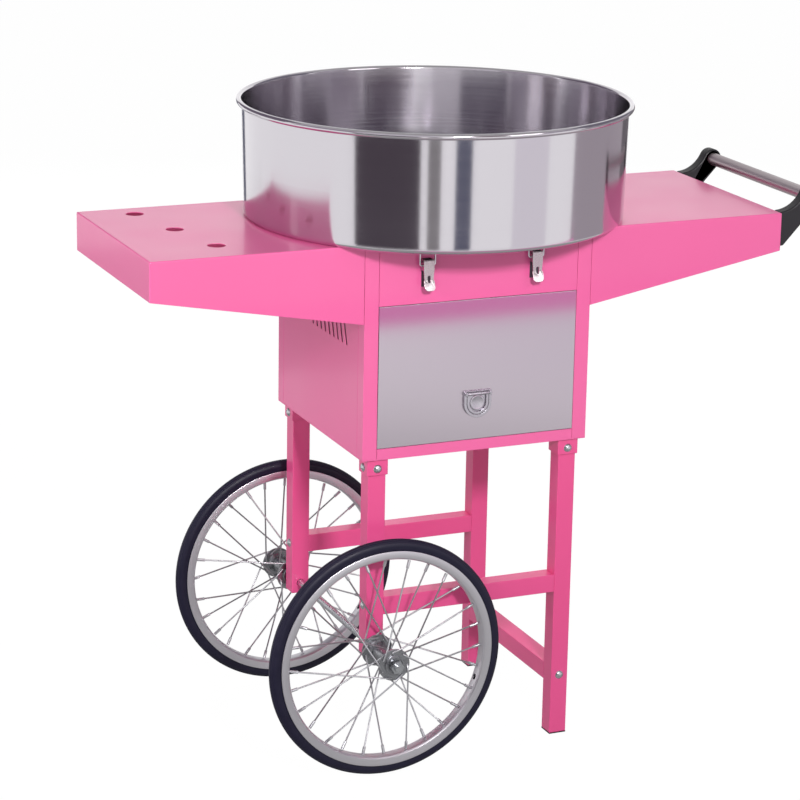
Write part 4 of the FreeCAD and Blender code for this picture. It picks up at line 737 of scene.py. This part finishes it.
def anchor(joint: str) -> Vector:
    """The point that a joint turns about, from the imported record."""
    rows = frame["record"]["behaviour"]["joints"]
    return Vector(next(row["pos_m"] for row in rows if row["name"] == joint))


def middle(node: str) -> Vector:
    """The middle of a CAD node's box."""
    low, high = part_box(node)
    return (low + high) / 2


# ---- the cart ----


@dataclass
class Bowl:
    """Spun stainless bowl with a rolled rim, standing on the deck."""

    gauge: float = 1.2 * MM
    corner: float = 6 * MM
    bead: float = 4 * MM
    base_radius: float = 256.5 * MM
    hole_radius: float = 46 * MM
    wall_rings: tuple = (0.03, 0.97, 1.0)
    steps: int = 180

    def build(self) -> None:
        """Turn the bowl's section and dress it."""
        low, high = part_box("bowl")
        centre = middle("bowl")
        height = high.z - low.z
        top = (high.x - low.x) / 2 - 2 * self.bead + self.gauge
        foot, inside = self.base_radius - self.corner, self.corner + self.gauge
        wall = Vector((self.base_radius, self.corner)), Vector((top, height - 2 * self.bead))
        profile = [(self.hole_radius, 0.0)] + arc((foot, self.corner), self.corner, -90, 0, 5)
        profile += [tuple(wall[0].lerp(wall[1], share)) for share in self.wall_rings]
        profile += arc((top - self.gauge + self.bead, height - self.bead), self.bead, -120, 180, 18)
        profile += [(self.base_radius - self.gauge, inside)]
        profile += arc((foot - self.gauge, inside), self.corner, 0, -90, 5) + [(self.hole_radius, self.gauge)]
        bowl = settle(lathe(profile, self.steps), (centre.x, centre.y, low.z))
        finish = SpunMetal("stainless_bowl_spun", "#CDC9CF", 0.13, 1.0, (centre.x, centre.y, 0.0))
        fit(bowl, "bowl_shell", finish, "cart", "stainless", "bowl")


@dataclass
class Wheel:
    """One spoked wheel: round tyre, box-section rim, turned hub and laced spokes."""

    name: str
    outwards: int
    valve_angle: float
    valve_radius: float = 4 * MM
    radius: float = 165 * MM
    tyre_half: float = 8.5 * MM
    tread_angles: range = range(-90, 91, 6)
    groove_angles: tuple = (24, 48)
    groove_depth: float = 0.5 * MM
    rim_edge: float = 151 * MM
    rim_inner: float = 138.5 * MM
    rim_half: float = 10 * MM
    rim_wall: float = 1.8 * MM
    flange: float = 22 * MM
    flange_spread: float = 29 * MM
    flange_gauge: float = 2.5 * MM
    hub_barrel: float = 10 * MM
    hub_half: float = 34 * MM
    bearing_cup: float = 13.5 * MM
    cone: float = 8 * MM
    bore: float = 5.05 * MM
    steps: int = 144

    @property
    def centre(self) -> Vector:
        """The wheel's middle."""
        return middle(self.name + "_tyre")

    def build(self) -> None:
        """Make tyre, rim, hub and spokes."""
        body = self.name + "_wheel"
        title, centre = body + "_rim_satin", tuple(self.centre)
        satin = SpunMetal(title, "#D9D6DC", 0.38, 1.0, centre, 0.3, Lathe.LYING)
        for make, node, name, finish, slot in (
            (self.tyre, "_tyre", "_tyre_rubber", RUBBER, "tyre_rubber"),
            (self.rim, "_rim", "_rim_steel", satin, "chrome_plate"),
            (self.hub, "_hub", "_hub_shell", HUB_ZINC, "chrome_plate"),
        ):
            piece = settle(make(), self.centre, (-90 * self.outwards, 0, 0))
            if make == self.rim:
                self.bore_valve_hole(piece)
            fit(piece, self.name + name, finish, body, slot, self.name + node)
        spokes = self.name + "_spokes"
        fit(soften(spokes, 0), self.name + "_laced_spokes", SPOKE_STEEL, body, "spoke_wire", spokes)

    def bore_valve_hole(self, rim: Piece) -> None:
        """Bore the valve hole through the bed, midway between two spokes.

        Args:
            rim: the rim in its place.
        """
        drill = round_bar(self.valve_radius, 14 * MM, 0.2 * MM)
        way = math.radians(self.valve_angle)
        out = Vector((math.cos(way), 0, math.sin(way))) * self.rim_inner
        pierce(rim, settle(drill, self.centre + out, (0, -self.valve_angle, 0)))
        smooth(rim)

    def tyre(self) -> Piece:
        """Turn the tyre: round tread with two fine grooves a side, narrowing into the rim.

        Returns:
            The tyre, about the origin.
        """
        profile = []
        for angle in self.tread_angles:
            way = math.radians(angle)
            reach = self.tyre_half - (self.groove_depth if abs(angle) in self.groove_angles else 0)
            profile.append((self.radius - self.tyre_half + reach * math.cos(way), reach * math.sin(way)))
        bed, half = self.rim_inner + self.rim_wall, self.rim_half - self.rim_wall
        foot = [(self.rim_edge - 1 * MM, half - 0.4 * MM), (bed + 2.2 * MM, half - 2.2 * MM)]
        return lathe(profile + foot + mirrored(foot), self.steps)

    def rim(self) -> Piece:
        """Turn the rim: rolled edges, slanted flanks and a flat bed for the nipples.

        Returns:
            The rim, about the origin.
        """
        edge, inner, half, wall = self.rim_edge, self.rim_inner, self.rim_half, self.rim_wall
        roll, bed = wall / 2, half - wall
        upper = [(edge - roll, half)] + arc((edge - roll, half - roll), roll, 60, -90, 5)
        upper += [(inner + wall + 2 * MM, bed - 1 * MM), (inner + wall, bed - 3.5 * MM)]
        flank = [(inner, half - 4.5 * MM), (inner + 0.7 * MM, half - 2.6 * MM)]
        flank += [(inner + 2.5 * MM, half - 1 * MM)]
        return lathe(upper + mirrored(upper) + mirrored(flank) + flank, self.steps)

    def hub(self) -> Piece:
        """Turn the hub shell: waisted barrel, two flanges, bearing cups and locknuts.

        Returns:
            The hub, about the origin.
        """
        flange, barrel, cup, half = self.flange, self.hub_barrel, self.bearing_cup, self.hub_half
        low, high = self.flange_spread - self.flange_gauge / 2, self.flange_spread + self.flange_gauge / 2
        edge, lip, race = 0.6 * MM, half - 1 * MM, cup - 2.5 * MM
        upper = [(barrel, 0.0), (barrel, low - 5 * MM)]
        upper += [(barrel + 1.2 * MM, low - 2.4 * MM), (barrel + 4 * MM, low)]
        upper += [(flange - edge, low), (flange, low + edge), (flange, high - edge), (flange - edge, high)]
        upper += [(cup, high), (cup, lip - edge), (cup - edge, lip), (race, lip), (race, high)]
        upper += [(self.cone, high), (self.cone, half), (self.bore, half)]
        return lathe(upper + mirrored(upper[1:]), 48)


@dataclass
class Latch:
    """Toggle latch: a pressed lever between the base's ears, and a wire bail that holds the bowl down."""

    site: str
    width: float = 15 * MM
    neck: float = 13 * MM
    neck_drop: float = 23.5 * MM
    shoulder: float = 12 * MM
    tip: float = 15 * MM
    tip_length: float = 15.2 * MM
    tip_corner: float = 5 * MM
    kick: float = 24
    curl: float = 40
    gauge: float = 1.2 * MM
    stand: float = 6.5 * MM
    front: float = 5.0 * MM
    top: float = 2.5 * MM
    cheek_depth: float = 8.55 * MM
    slot: float = 2.1 * MM
    slot_top: float = 20.5 * MM
    slot_run: float = 5 * MM
    bail_half: float = 10.75 * MM
    bail_rise: float = 21.5 * MM
    bail_end: float = 6.2 * MM
    bail_wire: float = 1.25 * MM
    bail_bend: float = 2.9 * MM
    base_width: float = 12.4 * MM
    base_height: float = 38 * MM
    base_gauge: float = 1.5 * MM
    ear: float = 3 * MM
    ear_offset: float = 5.3 * MM
    pin: float = 1.5 * MM
    rivet: float = 2.4 * MM

    @property
    def turn(self) -> tuple:
        """The turn that faces the latch forwards or back."""
        return (0, 0, 0) if self.site.startswith("front") else BACKWARDS

    def build(self) -> None:
        """Make lever and bail and hang them on their bodies."""
        lever = settle(self.lever(), anchor("lever_%s_throw" % self.site), self.turn)
        body, name = "lever_" + self.site, "latch_lever_" + self.site
        fit(lever, name, LATCH_STEEL, body, "chrome_plate", "toggle_lever_" + self.site)
        bail = settle(self.bail(), anchor("bail_%s_swing" % self.site), self.turn)
        body, name = "bail_" + self.site, "latch_bail_" + self.site
        fit(bail, name, CHROME, body, "chrome_plate", "toggle_bail_" + self.site)

    def lever(self) -> Piece:
        """Press the lever: tapered face with a rolled top, kicked-out tip, lock slot and two cheeks.

        Returns:
            The lever, about its pin.
        """
        half, tip, corner = self.width / 2, self.tip / 2, self.tip_corner
        low = -self.neck_drop - self.tip_length
        right = [(half, 3 * MM), (half, -self.shoulder), (self.neck / 2, -self.neck_drop)]
        right += [(tip, -self.neck_drop - 2.2 * MM)] + arc((tip - corner, low + corner), corner, 0, -90, 6)
        face = plate(right + [(-x, z) for x, z in reversed(right)], self.gauge)
        fold(face, 1 * MM, self.curl, above=True)
        fold(face, -self.neck_drop, self.kick)
        foot = self.slot_top + self.slot_run
        hole = arc((0, -self.slot_top), self.slot, 180, 0, 8) + arc((0, -foot), self.slot, 0, -180, 8)
        pierce(face, settle(plate(hole, 8 * MM), (0, -4 * MM, 0)))
        round_off(face, 0.3 * MM, 2)
        settle(face, (0, -self.front, 0))
        near, far = 0.3 * MM - self.front, self.cheek_depth - self.front
        cheeks = [
            slab((side, near, -self.shoulder), (side + self.gauge, far, self.top), 0.4 * MM)
            for side in (-half, half - self.gauge)
        ]
        return merge([face] + cheeks)

    def bail(self) -> Piece:
        """Bend the bail: two inturned feet, two legs and the crossbar.

        Returns:
            The bail, about its pivots.
        """
        corners = (self.bail_end, 0), (self.bail_half, 0), (self.bail_half, self.bail_rise)
        side = [Vector((x, 0, z)) for x, z in corners]
        path = side + [Vector((-x, 0, z)) for x, z in reversed(corners)]
        return wire(path, self.bail_wire, self.bail_bend)

    def base(self) -> Piece:
        """Press the base: plate with rivets, two ears, and the pin with its heads.

        Returns:
            The base in its place.
        """
        low, back, half = self.ear - self.base_height, self.stand - self.base_gauge, self.base_width / 2
        pieces = [slab((-half, back, low), (half, self.stand, self.ear), 0.5 * MM)]
        for side in (-self.ear_offset, self.ear_offset):
            ear = round_bar(self.ear, self.gauge, 0.3 * MM)
            near = (side - self.gauge / 2, 0, -self.ear)
            far = (side + self.gauge / 2, self.stand - 1 * MM, self.ear)
            pieces += [settle(ear, (side, 0, 0)), slab(near, far, 0.25 * MM)]
        pieces.append(round_bar(self.pin, self.width + 1 * MM, 0.6 * MM))
        for drop in (-14 * MM, low + 6 * MM):
            dome = [(0, 0), (self.rivet, 0)] + arc((0, 0), self.rivet, 20, 90, 5)
            pieces.append(settle(lathe(dome, 20), (0, back, drop), (90, 0, 0)))
        return settle(merge(pieces), anchor("lever_%s_throw" % self.site), self.turn)


@dataclass
class DropPull:
    """Drop pull on the drawer: recessed plate with a round dish, pin and a hanging strap."""

    half: float = 20 * MM
    above: float = 17 * MM
    thickness: float = 3.5 * MM
    recess: float = 2.4 * MM
    recess_half: float = 16 * MM
    lip: float = 1.1 * MM
    strap_half: float = 15.5 * MM
    strap_width: float = 3.6 * MM
    strap_gauge: float = 1.8 * MM
    hinge_rise: float = 13.4 * MM
    hinge_out: float = 4.5 * MM
    knuckle_offset: float = 17.4 * MM
    knuckle_half: tuple = (1.6 * MM, 2.4 * MM)
    pin: float = 1.6 * MM
    eye: float = 2.35 * MM
    dish_ring_mm: tuple = ((10.8, 0), (10.3, 0.7), (9.4, 1.0), (8.4, 0.8), (6.4, 0.35))

    def build(self) -> None:
        """Make the plate on the drawer and the strap that swings on it."""
        centre = anchor("pull_ring_swing") - Vector((0, -self.hinge_out, self.hinge_rise))
        holder, strap = settle(self.holder(), centre), settle(self.strap(), centre)
        fit(holder, "pull_holder", PULL_STEEL, "drawer", "chrome_plate", "pull_plate")
        fit(strap, "pull_strap", PULL_STEEL, "drawer_pull", "chrome_plate", "pull_ring")

    def holder(self) -> Piece:
        """Press the plate with its pocket and dish, and set the pin in two knuckles.

        Returns:
            The plate, about the middle of its round foot.
        """
        face = plate(cup_outline(self.half, self.above), self.thickness)
        pocket = cup_outline(self.recess_half, self.above - self.lip)
        pierce(face, settle(plate(pocket, self.recess + 1 * MM), (0, -1 * MM, 0)))
        round_off(face, 0.45 * MM)
        settle(face, (0, -self.thickness, 0))
        floor = self.thickness - self.recess
        relief = [(0, -0.3), (10.8, -0.3), *self.dish_ring_mm, (0, 0.25)]
        dish = lathe([(radius * MM, height * MM) for radius, height in relief], 48)
        pieces = [face, settle(dish, (0, -floor, 0), (90, 0, 0))]
        across, up = self.knuckle_half
        for side in (-self.knuckle_offset, self.knuckle_offset):
            low = (side - across, -self.hinge_out - 2.2 * MM, self.hinge_rise - up)
            pieces.append(slab(low, (side + across, -floor, self.hinge_rise + up), 0.8 * MM))
        pin = round_bar(self.pin, 2 * self.half - 0.6 * MM, 0.8 * MM)
        return merge(pieces + [settle(pin, (0, -self.hinge_out, self.hinge_rise))])

    def strap(self) -> Piece:
        """Bend the strap and roll its eye round the pin.

        Returns:
            The strap, about the middle of the plate's round foot.
        """
        outer = cup_outline(self.strap_half, self.hinge_rise)
        inner = cup_outline(self.strap_half - self.strap_width, self.hinge_rise)
        band = plate(outer + inner[::-1], self.strap_gauge)
        round_off(band, 0.55 * MM)
        settle(band, (0, -self.thickness - 0.2 * MM, 0))
        eye = round_bar(self.eye, 2 * self.strap_half, 0.4 * MM, self.pin + 0.05 * MM)
        return merge([band, settle(eye, (0, -self.hinge_out, self.hinge_rise))])


@dataclass
class Controls:
    """The back's meter, rocker switches, heat knob and mains inlet."""

    seat: float = 1.6 * MM
    dial_half: tuple = (18.7 * MM, 12.7 * MM)
    dial_gauge: float = 0.3 * MM
    print_gauge: float = 0.08 * MM
    sink: float = 0.1 * MM
    sweep: float = 48.0
    sweep_radius: float = 15 * MM
    pivot_drop: float = 8 * MM
    cover_top: float = -6.6 * MM
    line_width: float = 0.35 * MM
    needle_half: float = 0.3 * MM
    needle_length: float = 15.5 * MM
    knob_gap: float = 0.4 * MM
    skirt: float = 13 * MM
    grip: float = 11.6 * MM
    knob_height: float = 14 * MM
    rib_half: float = 1.5 * MM
    rib_reach: tuple = (-2 * MM, 11 * MM)
    flutes: int = 20
    flute_depth: float = 0.55 * MM
    scale_radius: float = 16.5 * MM
    scale_step: float = 27
    marks: int = 11
    blade_half: Vector = Vector((1.05 * MM, 0, 2.05 * MM))
    blade_sites_mm: tuple = ((-6, -1), (6, -1), (0, 2.5))
    blade_length: float = 10 * MM

    def build(self) -> None:
        """Round the mouldings, print the dial and the heat scale, and turn the knob."""
        for node, ending, width, segments, *looks in (
            ("voltmeter", "_moulded", 0.6, 2, BLACK_ABS, "cart", "black_gloss"),
            ("control_housings", "_moulded", 0.45, 2, BLACK_ABS, "cart", "black_gloss"),
            ("power_inlet", "_moulded", 0.4, 2, BLACK_NYLON, "cart", "black_moulding"),
            ("power_rocker", "_cap", 0.5, 3, RED_ABS, "power_switch", "red_gloss"),
            ("heat_rocker", "_cap", 0.5, 3, BLACK_ABS, "heat_switch", "black_gloss"),
        ):
            fit(soften(node, width * MM, segments), node + ending, *looks, node)
        meter, inlet, axis = self.on_back("voltmeter"), self.on_back("power_inlet"), anchor("heat_knob_turn")
        for make, place, name, *looks in (
            (self.card, meter, "voltmeter_card", WHITE_PRINT, "cart", "black_gloss"),
            (self.dial, meter, "voltmeter_print", BLACK_ABS, "cart", "black_gloss"),
            (self.heat_scale, axis, "heat_scale", BLACK_ABS, "cart", "black_gloss"),
            (self.blades, inlet, "inlet_blades", CHROME, "cart", "chrome_plate"),
            (self.knob, axis, "heat_knob_fluted", BLACK_NYLON, "heat_control", "black_moulding", "heat_knob"),
            (self.knob_line, axis, "heat_knob_line", WHITE_PRINT, "heat_control", "black_moulding"),
        ):
            fit(settle(make(), place, BACKWARDS), name, *looks)

    @property
    def dial_front(self) -> float:
        """How far the dial's card stands off the back panel."""
        return self.seat + self.dial_gauge

    @property
    def knob_front(self) -> float:
        """How far the knob's face stands off the back panel."""
        return self.knob_gap + self.knob_height

    def on_back(self, node: str) -> Vector:
        """The point of the back panel's face behind the middle of a node."""
        centre = middle(node)
        return Vector((centre.x, anchor("heat_knob_turn").y, centre.z))

    def tick(self, angle: float, radius: float, width: float, length: float, at: tuple = (0, 0)) -> Piece:
        """Print one mark of a round scale that faces -Y.

        Args:
            angle: degrees from straight up, clockwise as the scale is read.
            radius: from the scale's middle to the mark's middle.
            width: across the mark.
            length: along the mark.
            at: y and z of the scale's middle.

        Returns:
            The mark.
        """
        mark = slab((-width / 2, -self.print_gauge, -length / 2), (width / 2, self.sink, length / 2))
        way = math.radians(angle)
        return settle(mark, (radius * math.sin(way), at[0], radius * math.cos(way) + at[1]), (0, angle, 0))

    def card(self) -> Piece:
        """Cut the meter's white card."""
        x, z = self.dial_half
        return slab((-x, -self.dial_front, -z), (x, -self.seat + self.sink, z))

    def dial(self) -> Piece:
        """Print the meter's ticks over an arc, and set the needle at rest and a cover over its pivot.

        Returns:
            Ticks, arc, needle and cover as one piece.
        """
        front, low, radius = -self.dial_front, -self.pivot_drop, self.sweep_radius
        pieces = []
        for k in range(self.marks):
            width, length = (0.55 * MM, 3.4 * MM) if k % 5 == 0 else (0.35 * MM, 2.0 * MM)
            angle = self.sweep * (k / 5 - 1)
            pieces.append(self.tick(angle, radius + length / 2, width, length, (front, low)))
        start, end = 90 + self.sweep, 90 - self.sweep
        band = arc((0, low), radius, start, end, 24) + arc((0, low), radius - self.line_width, end, start, 24)
        pieces.append(settle(plate(band, 0.2 * MM), (0, front - self.print_gauge, 0)))
        half, (x, z) = self.needle_half, self.dial_half
        needle = slab((-half, -half, 0), (half, 0, self.needle_length))
        cover = slab((-x, front - 0.7 * MM, -z), (x, front + self.sink, self.cover_top), 0.3 * MM)
        pieces += [settle(needle, (0, front - 0.25 * MM, low), (0, -self.sweep, 0)), cover]
        return merge(pieces)

    def heat_scale(self) -> Piece:
        """Print the marks round the heat knob."""
        angles = [self.scale_step * k for k in range(self.marks)]
        return merge([self.tick(angle, self.scale_radius, 1 * MM, 2.6 * MM) for angle in angles])

    def blades(self) -> Piece:
        """Cap the inlet's three blades with bright plate.

        Returns:
            The three caps as one piece.
        """
        mouth = anchor("heat_knob_turn").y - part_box("power_inlet")[0].y - 3 * MM
        blades = []
        for x, z in self.blade_sites_mm:
            tip = Vector((x * MM, mouth, z * MM))
            root = tip - Vector((0, self.blade_length, 0))
            blades.append(slab(root - self.blade_half, tip + self.blade_half, 0.3 * MM))
        return merge(blades)

    def knob(self) -> Piece:
        """Mould the knob: skirt, fluted grip, a pointer rib and the shaft behind it.

        Returns:
            The knob.
        """
        back, front, skirt, grip = self.knob_gap, self.knob_front, self.skirt, self.grip
        seam = back + 3.4 * MM
        profile = [(0, back), (skirt - 0.5 * MM, back), (skirt, back + 0.5 * MM), (skirt, back + 2 * MM)]
        profile += [(grip, back + 3.2 * MM), (grip - 1 * MM, seam), (0, seam)]
        outline = []
        for k in range(self.flutes * 6):
            way = math.tau * k / (self.flutes * 6)
            reach = grip - self.flute_depth * max(0.0, math.cos(way * self.flutes)) ** 2
            outline.append((reach * math.sin(way), reach * math.cos(way)))
        fluted = settle(plate(outline, self.knob_height - 3 * MM), (0, -front, 0))
        round_off(fluted, 1 * MM, 3, 60)
        base = settle(lathe(profile, 60), turn=(90, 0, 0))
        half, (foot, end) = self.rib_half, self.rib_reach
        rib = slab((-half, -front - 2 * MM, foot), (half, -front + 1 * MM, end), 0.6 * MM)
        shaft = settle(round_bar(3 * MM, 12 * MM, 0.4 * MM), turn=(0, 0, 90))
        return merge([base, fluted, rib, settle(shaft, (0, -1 * MM, 0))])

    def knob_line(self) -> Piece:
        """Print the white line on the knob's rib."""
        out = -self.knob_front - 1.5 * MM
        return slab((-0.5 * MM, out - 0.6 * MM, 2.5 * MM), (0.5 * MM, out, 10.2 * MM), 0.1 * MM)


@dataclass
class Studio:
    """Pale floor, soft lamps, boards for the mirror images and the camera."""

    azimuth: float = -24.0
    elevation: float = 15.9
    roll: float = -1.2
    distance: float = 3.9058
    aim: tuple = (-0.0325, 0.0, 0.466)
    lens: float = 127.65
    shift: tuple = (-0.0366, -0.0088)
    floor_size: float = 24.0
    ambient: float = 0.14
    sky_heights: tuple = (0.15, 0.95)
    sky_lights: tuple = (1.1, 0.4)
    lamp_centre: tuple = (0, 0, 0.5)
    # name, azimuth, elevation, distance, size and watts of each lamp
    lights: tuple = (
        ("key_lamp", -9, 27, 3.6, 0.35, 80),
        ("front_fill", -38, 9, 2.7, 1.6, 13),
        ("left_fill", -80, 18, 3.2, 2.4, 57),
        ("right_fill", 100, 18, 3.2, 2, 36),
        ("glint_lamp", 25, 29, 1.8, 0.55, 2.8),
        ("top_lamp", 0, 85, 3, 2.4, 1),
        ("rear_lamp", 160, 20, 3.6, 2, 85),
    )
    board_reach: float = 2.0
    # name, both azimuths counted from the camera's, foot, head and shade of each board
    boards: tuple = (
        ("dark_board", -44.5, -8, 0, 0.9, "#473D47"),
        ("grey_board", -4, 3, 0, 0.9, "#8A8788"),
        ("blue_board", 11, 20, 0, 0.9, "#50536A"),
        ("soft_right_board", 44, 66, 0, 0.9, "#F2EEF4"),
        ("right_board", 85, 140, 0, 0.9, "#AFA6AD"),
        ("left_far_board", -150, -118, 0, 0.3, "#9C969C"),
        ("rear_dark_board", 140, 160, 0, 0.9, "#6A646A"),
        ("rear_grey_board", 170, 182, 0, 0.9, "#8A8788"),
        ("rear_blue_board", 205, 214, 0, 0.9, "#5C5F70"),
        ("upper_left_board", -150, -88.5, 0.95, 2.6, "#706674"),
        ("upper_side_board", -83, -43.5, 0.95, 2.6, "#A79EAA"),
        ("upper_front_board", -43.5, 1.5, 0.95, 2.6, "#D8D4DA"),
        ("upper_brown_board", 13, 62, 0.95, 2.6, "#968A90"),
        ("upper_right_board", 62, 85, 0.95, 2.6, "#B2ACB6"),
        ("upper_far_board", 89, 150, 0.95, 2.6, "#787480"),
    )
    rose_ends: tuple = ((-0.30, -0.43), (0.60, -0.43))
    rose_heights: tuple = (0.533, 0.575)

    def build(self) -> None:
        """Set up floor, world, lamps, boards and camera."""
        for step in (self.floor, self.world, self.lamps, self.stand_boards, self.camera):
            step()

    def floor(self) -> None:
        """A wide white floor that shows pure white to the camera, apart from the cart's shadow."""
        begin()
        bpy.ops.mesh.primitive_plane_add(size=self.floor_size, location=(0, 0, 0))
        floor = bpy.context.object
        floor.name = "studio_floor"
        paint(floor, Backdrop("studio_paper_white", "#8C8C8C", 0.9))

    def world(self) -> None:
        """A soft white surround, pure white to the camera and dimmer overhead to mirror rays."""
        world = bpy.data.worlds.new("studio_world")
        bpy.context.scene.world = world
        world.use_nodes = True
        tree = world.node_tree
        tree.nodes.clear()
        rays = add_node(tree, "LightPath").outputs
        sky = add_node(tree, "TexCoord").outputs["Generated"]
        height = add_node(tree, "SeparateXYZ", {"Vector": sky}).outputs["Z"]
        mirror = reckon("MULTIPLY", remap(height, self.sky_heights, self.sky_lights), rays["Is Glossy Ray"])
        strength = reckon("MAXIMUM", reckon("MAXIMUM", rays["Is Camera Ray"], mirror), self.ambient)
        light = add_node(tree, "Background", {"Color": linear("#FFFFFF"), "Strength": strength})
        add_node(tree, "OutputWorld", {"Surface": light.outputs["Background"]})

    def lamps(self) -> None:
        """A key lamp above the camera, broad fills, a glint for the latch tips, one overhead, one behind."""
        for name, azimuth, elevation, reach, size, power in self.lights:
            out = bearing(azimuth, elevation)
            lamp = bpy.data.lights.new(name, "AREA")
            lamp.shape = "SQUARE"
            lamp.size = size
            lamp.energy = power
            holder = bpy.data.objects.new(name, lamp)
            holder.location = Vector(self.lamp_centre) + out * reach
            holder.rotation_euler = (-out).to_track_quat("-Z", "Y").to_euler()
            holder.visible_glossy = name in ("key_lamp", "glint_lamp", "top_lamp")
            bpy.context.scene.collection.objects.link(holder)

    def stand_boards(self) -> None:
        """Boards round the cart that only mirror rays see: the bowl's bands and the drawer's rose edge."""
        for name, start, end, foot, head, shade in self.boards:
            ends = [bearing(self.azimuth + angle) * self.board_reach for angle in (start, end)]
            self.board(name, ends, foot, head, Board(name + "_cloth", shade, 0.8))
        ends = [Vector((*end, 0)) for end in self.rose_ends]
        self.board("rose_board", ends, *self.rose_heights, FadingBoard("rose_board_cloth", "#FA86CC", 0.8))

    def board(self, name: str, ends: list[Vector], foot: float, head: float, cloth: Board) -> None:
        """Stand one board between two points on the floor.

        Args:
            name: the board's name.
            ends: its two ends.
            foot: height of its lower edge.
            head: height of its upper edge.
            cloth: its cloth.
        """
        board = start_point()
        board.name = name
        draw_line([point + Vector((0, 0, foot)) for point in ends], False)
        bpy.ops.mesh.extrude_region_move(TRANSFORM_OT_translate={"value": (0, 0, head - foot)})
        bpy.ops.object.mode_set(mode="OBJECT")
        paint(board, cloth)
        for kind in ("camera", "diffuse", "transmission", "volume_scatter", "shadow"):
            setattr(board, "visible_" + kind, False)

    def camera(self) -> None:
        """Stand the camera at the eye point with its small roll and shift."""
        back, right = bearing(self.azimuth, self.elevation), bearing(self.azimuth + 90)
        level = Matrix((right, back.cross(right), back)).transposed()
        axes = level @ Matrix.Rotation(math.radians(-self.roll), 3, "Z")
        lens = bpy.data.cameras.new("studio_camera")
        lens.lens = self.lens
        lens.sensor_width = 36.0
        lens.shift_x, lens.shift_y = self.shift
        camera = bpy.data.objects.new("studio_camera", lens)
        camera.matrix_world = Matrix.Translation(Vector(self.aim) + back * self.distance) @ axes.to_4x4()
        bpy.context.scene.collection.objects.link(camera)
        bpy.context.scene.camera = camera
        bpy.context.scene.view_settings.view_transform = "Standard"


@dataclass
class Cabinet:
    """The nodes that keep their CAD shape or only get rounded edges, with their finishes."""

    plain: tuple = (
        (PINK, "top_deck"),
        (STAINLESS_SHEET_ROSE_REFLECTION, "bowl_catches"),
        (STAINLESS_TUBE, "handle_bar"),
        (ZINC, "motor_shelf drawer_runners drawer_box motor_mount heater_band spindle"),
        (BOLT_ZINC, "dome_bolts axle axle_nuts"),
        (BLACK_NYLON, "leg_feet"),
        (ENAMEL, "motor"),
        (BRASS, "slip_rings"),
        (GRAPHITE, "brush_holder"),
    )
    shelves: str = "left_shelf right_shelf"
    panels: str = "corner_posts front_panel left_side_panel right_side_panel back_panel cabinet_floor"
    tubes: str = "leg_sockets short_legs long_legs cross_rails side_rail"
    sheet_edge: float = 0.45 * MM
    tube_edge: float = 0.9 * MM
    drawer_edge: float = 0.8 * MM
    bracket_edge: float = 2.6 * MM

    def build(self) -> None:
        """Dress every node, and round the edges of the sheets, tubes and mouldings."""
        turned = SpunMetal("head_aluminium_turned", "#C9CBCE", 0.28, 1.0, tuple(middle("spindle")))
        for finish, names in (*self.plain, (turned, "spinner_head head_cap bearing_housing")):
            for name in names.split():
                dress(name, finish)
                log.info("%s is dressed in %s", name, finish.title)
        for width, finish, names in (
            (self.sheet_edge, PINK, self.shelves),
            (self.sheet_edge, PINK, self.panels),
            # the tubes take the darker pink: painted shade
            (self.tube_edge, PINK_TUBE_SHADED, self.tubes),
        ):
            for name in names.split():
                fit(soften(name, width), name + "_folded", finish, "cart", "pink_paint", name)
        face = soften("drawer_front", self.drawer_edge, 3)
        fit(face, "drawer_face", STAINLESS_SHEET_ROSE_REFLECTION, "drawer", "stainless", "drawer_front")
        brackets = soften("handle_brackets", self.bracket_edge, 4)
        fit(brackets, "handle_mouldings", BLACK_NYLON, "cart", "black_moulding", "handle_brackets")
        bases = merge([Latch(site).base() for site in LATCH_SITES])
        # the bases are dark grey: painted shade behind the levers
        fit(bases, "latch_bases", LATCH_BASE_SHADED, "cart", "chrome_plate", "toggle_bases")


def main() -> None:
    """Build the cart's sub-assemblies in order, then the studio."""
    logging.basicConfig(level=logging.INFO, format="%(name)s: %(message)s")
    wheels = Wheel("front", -1, -19.27), Wheel("rear", 1, -32.13)
    latches = [Latch(site) for site in LATCH_SITES]
    for part in (Cabinet(), Bowl(), *wheels, *latches, DropPull(), Controls(), Studio()):
        part.build()
        log.info("%s is done", type(part).__name__)


if __name__ == "__main__":
    main()
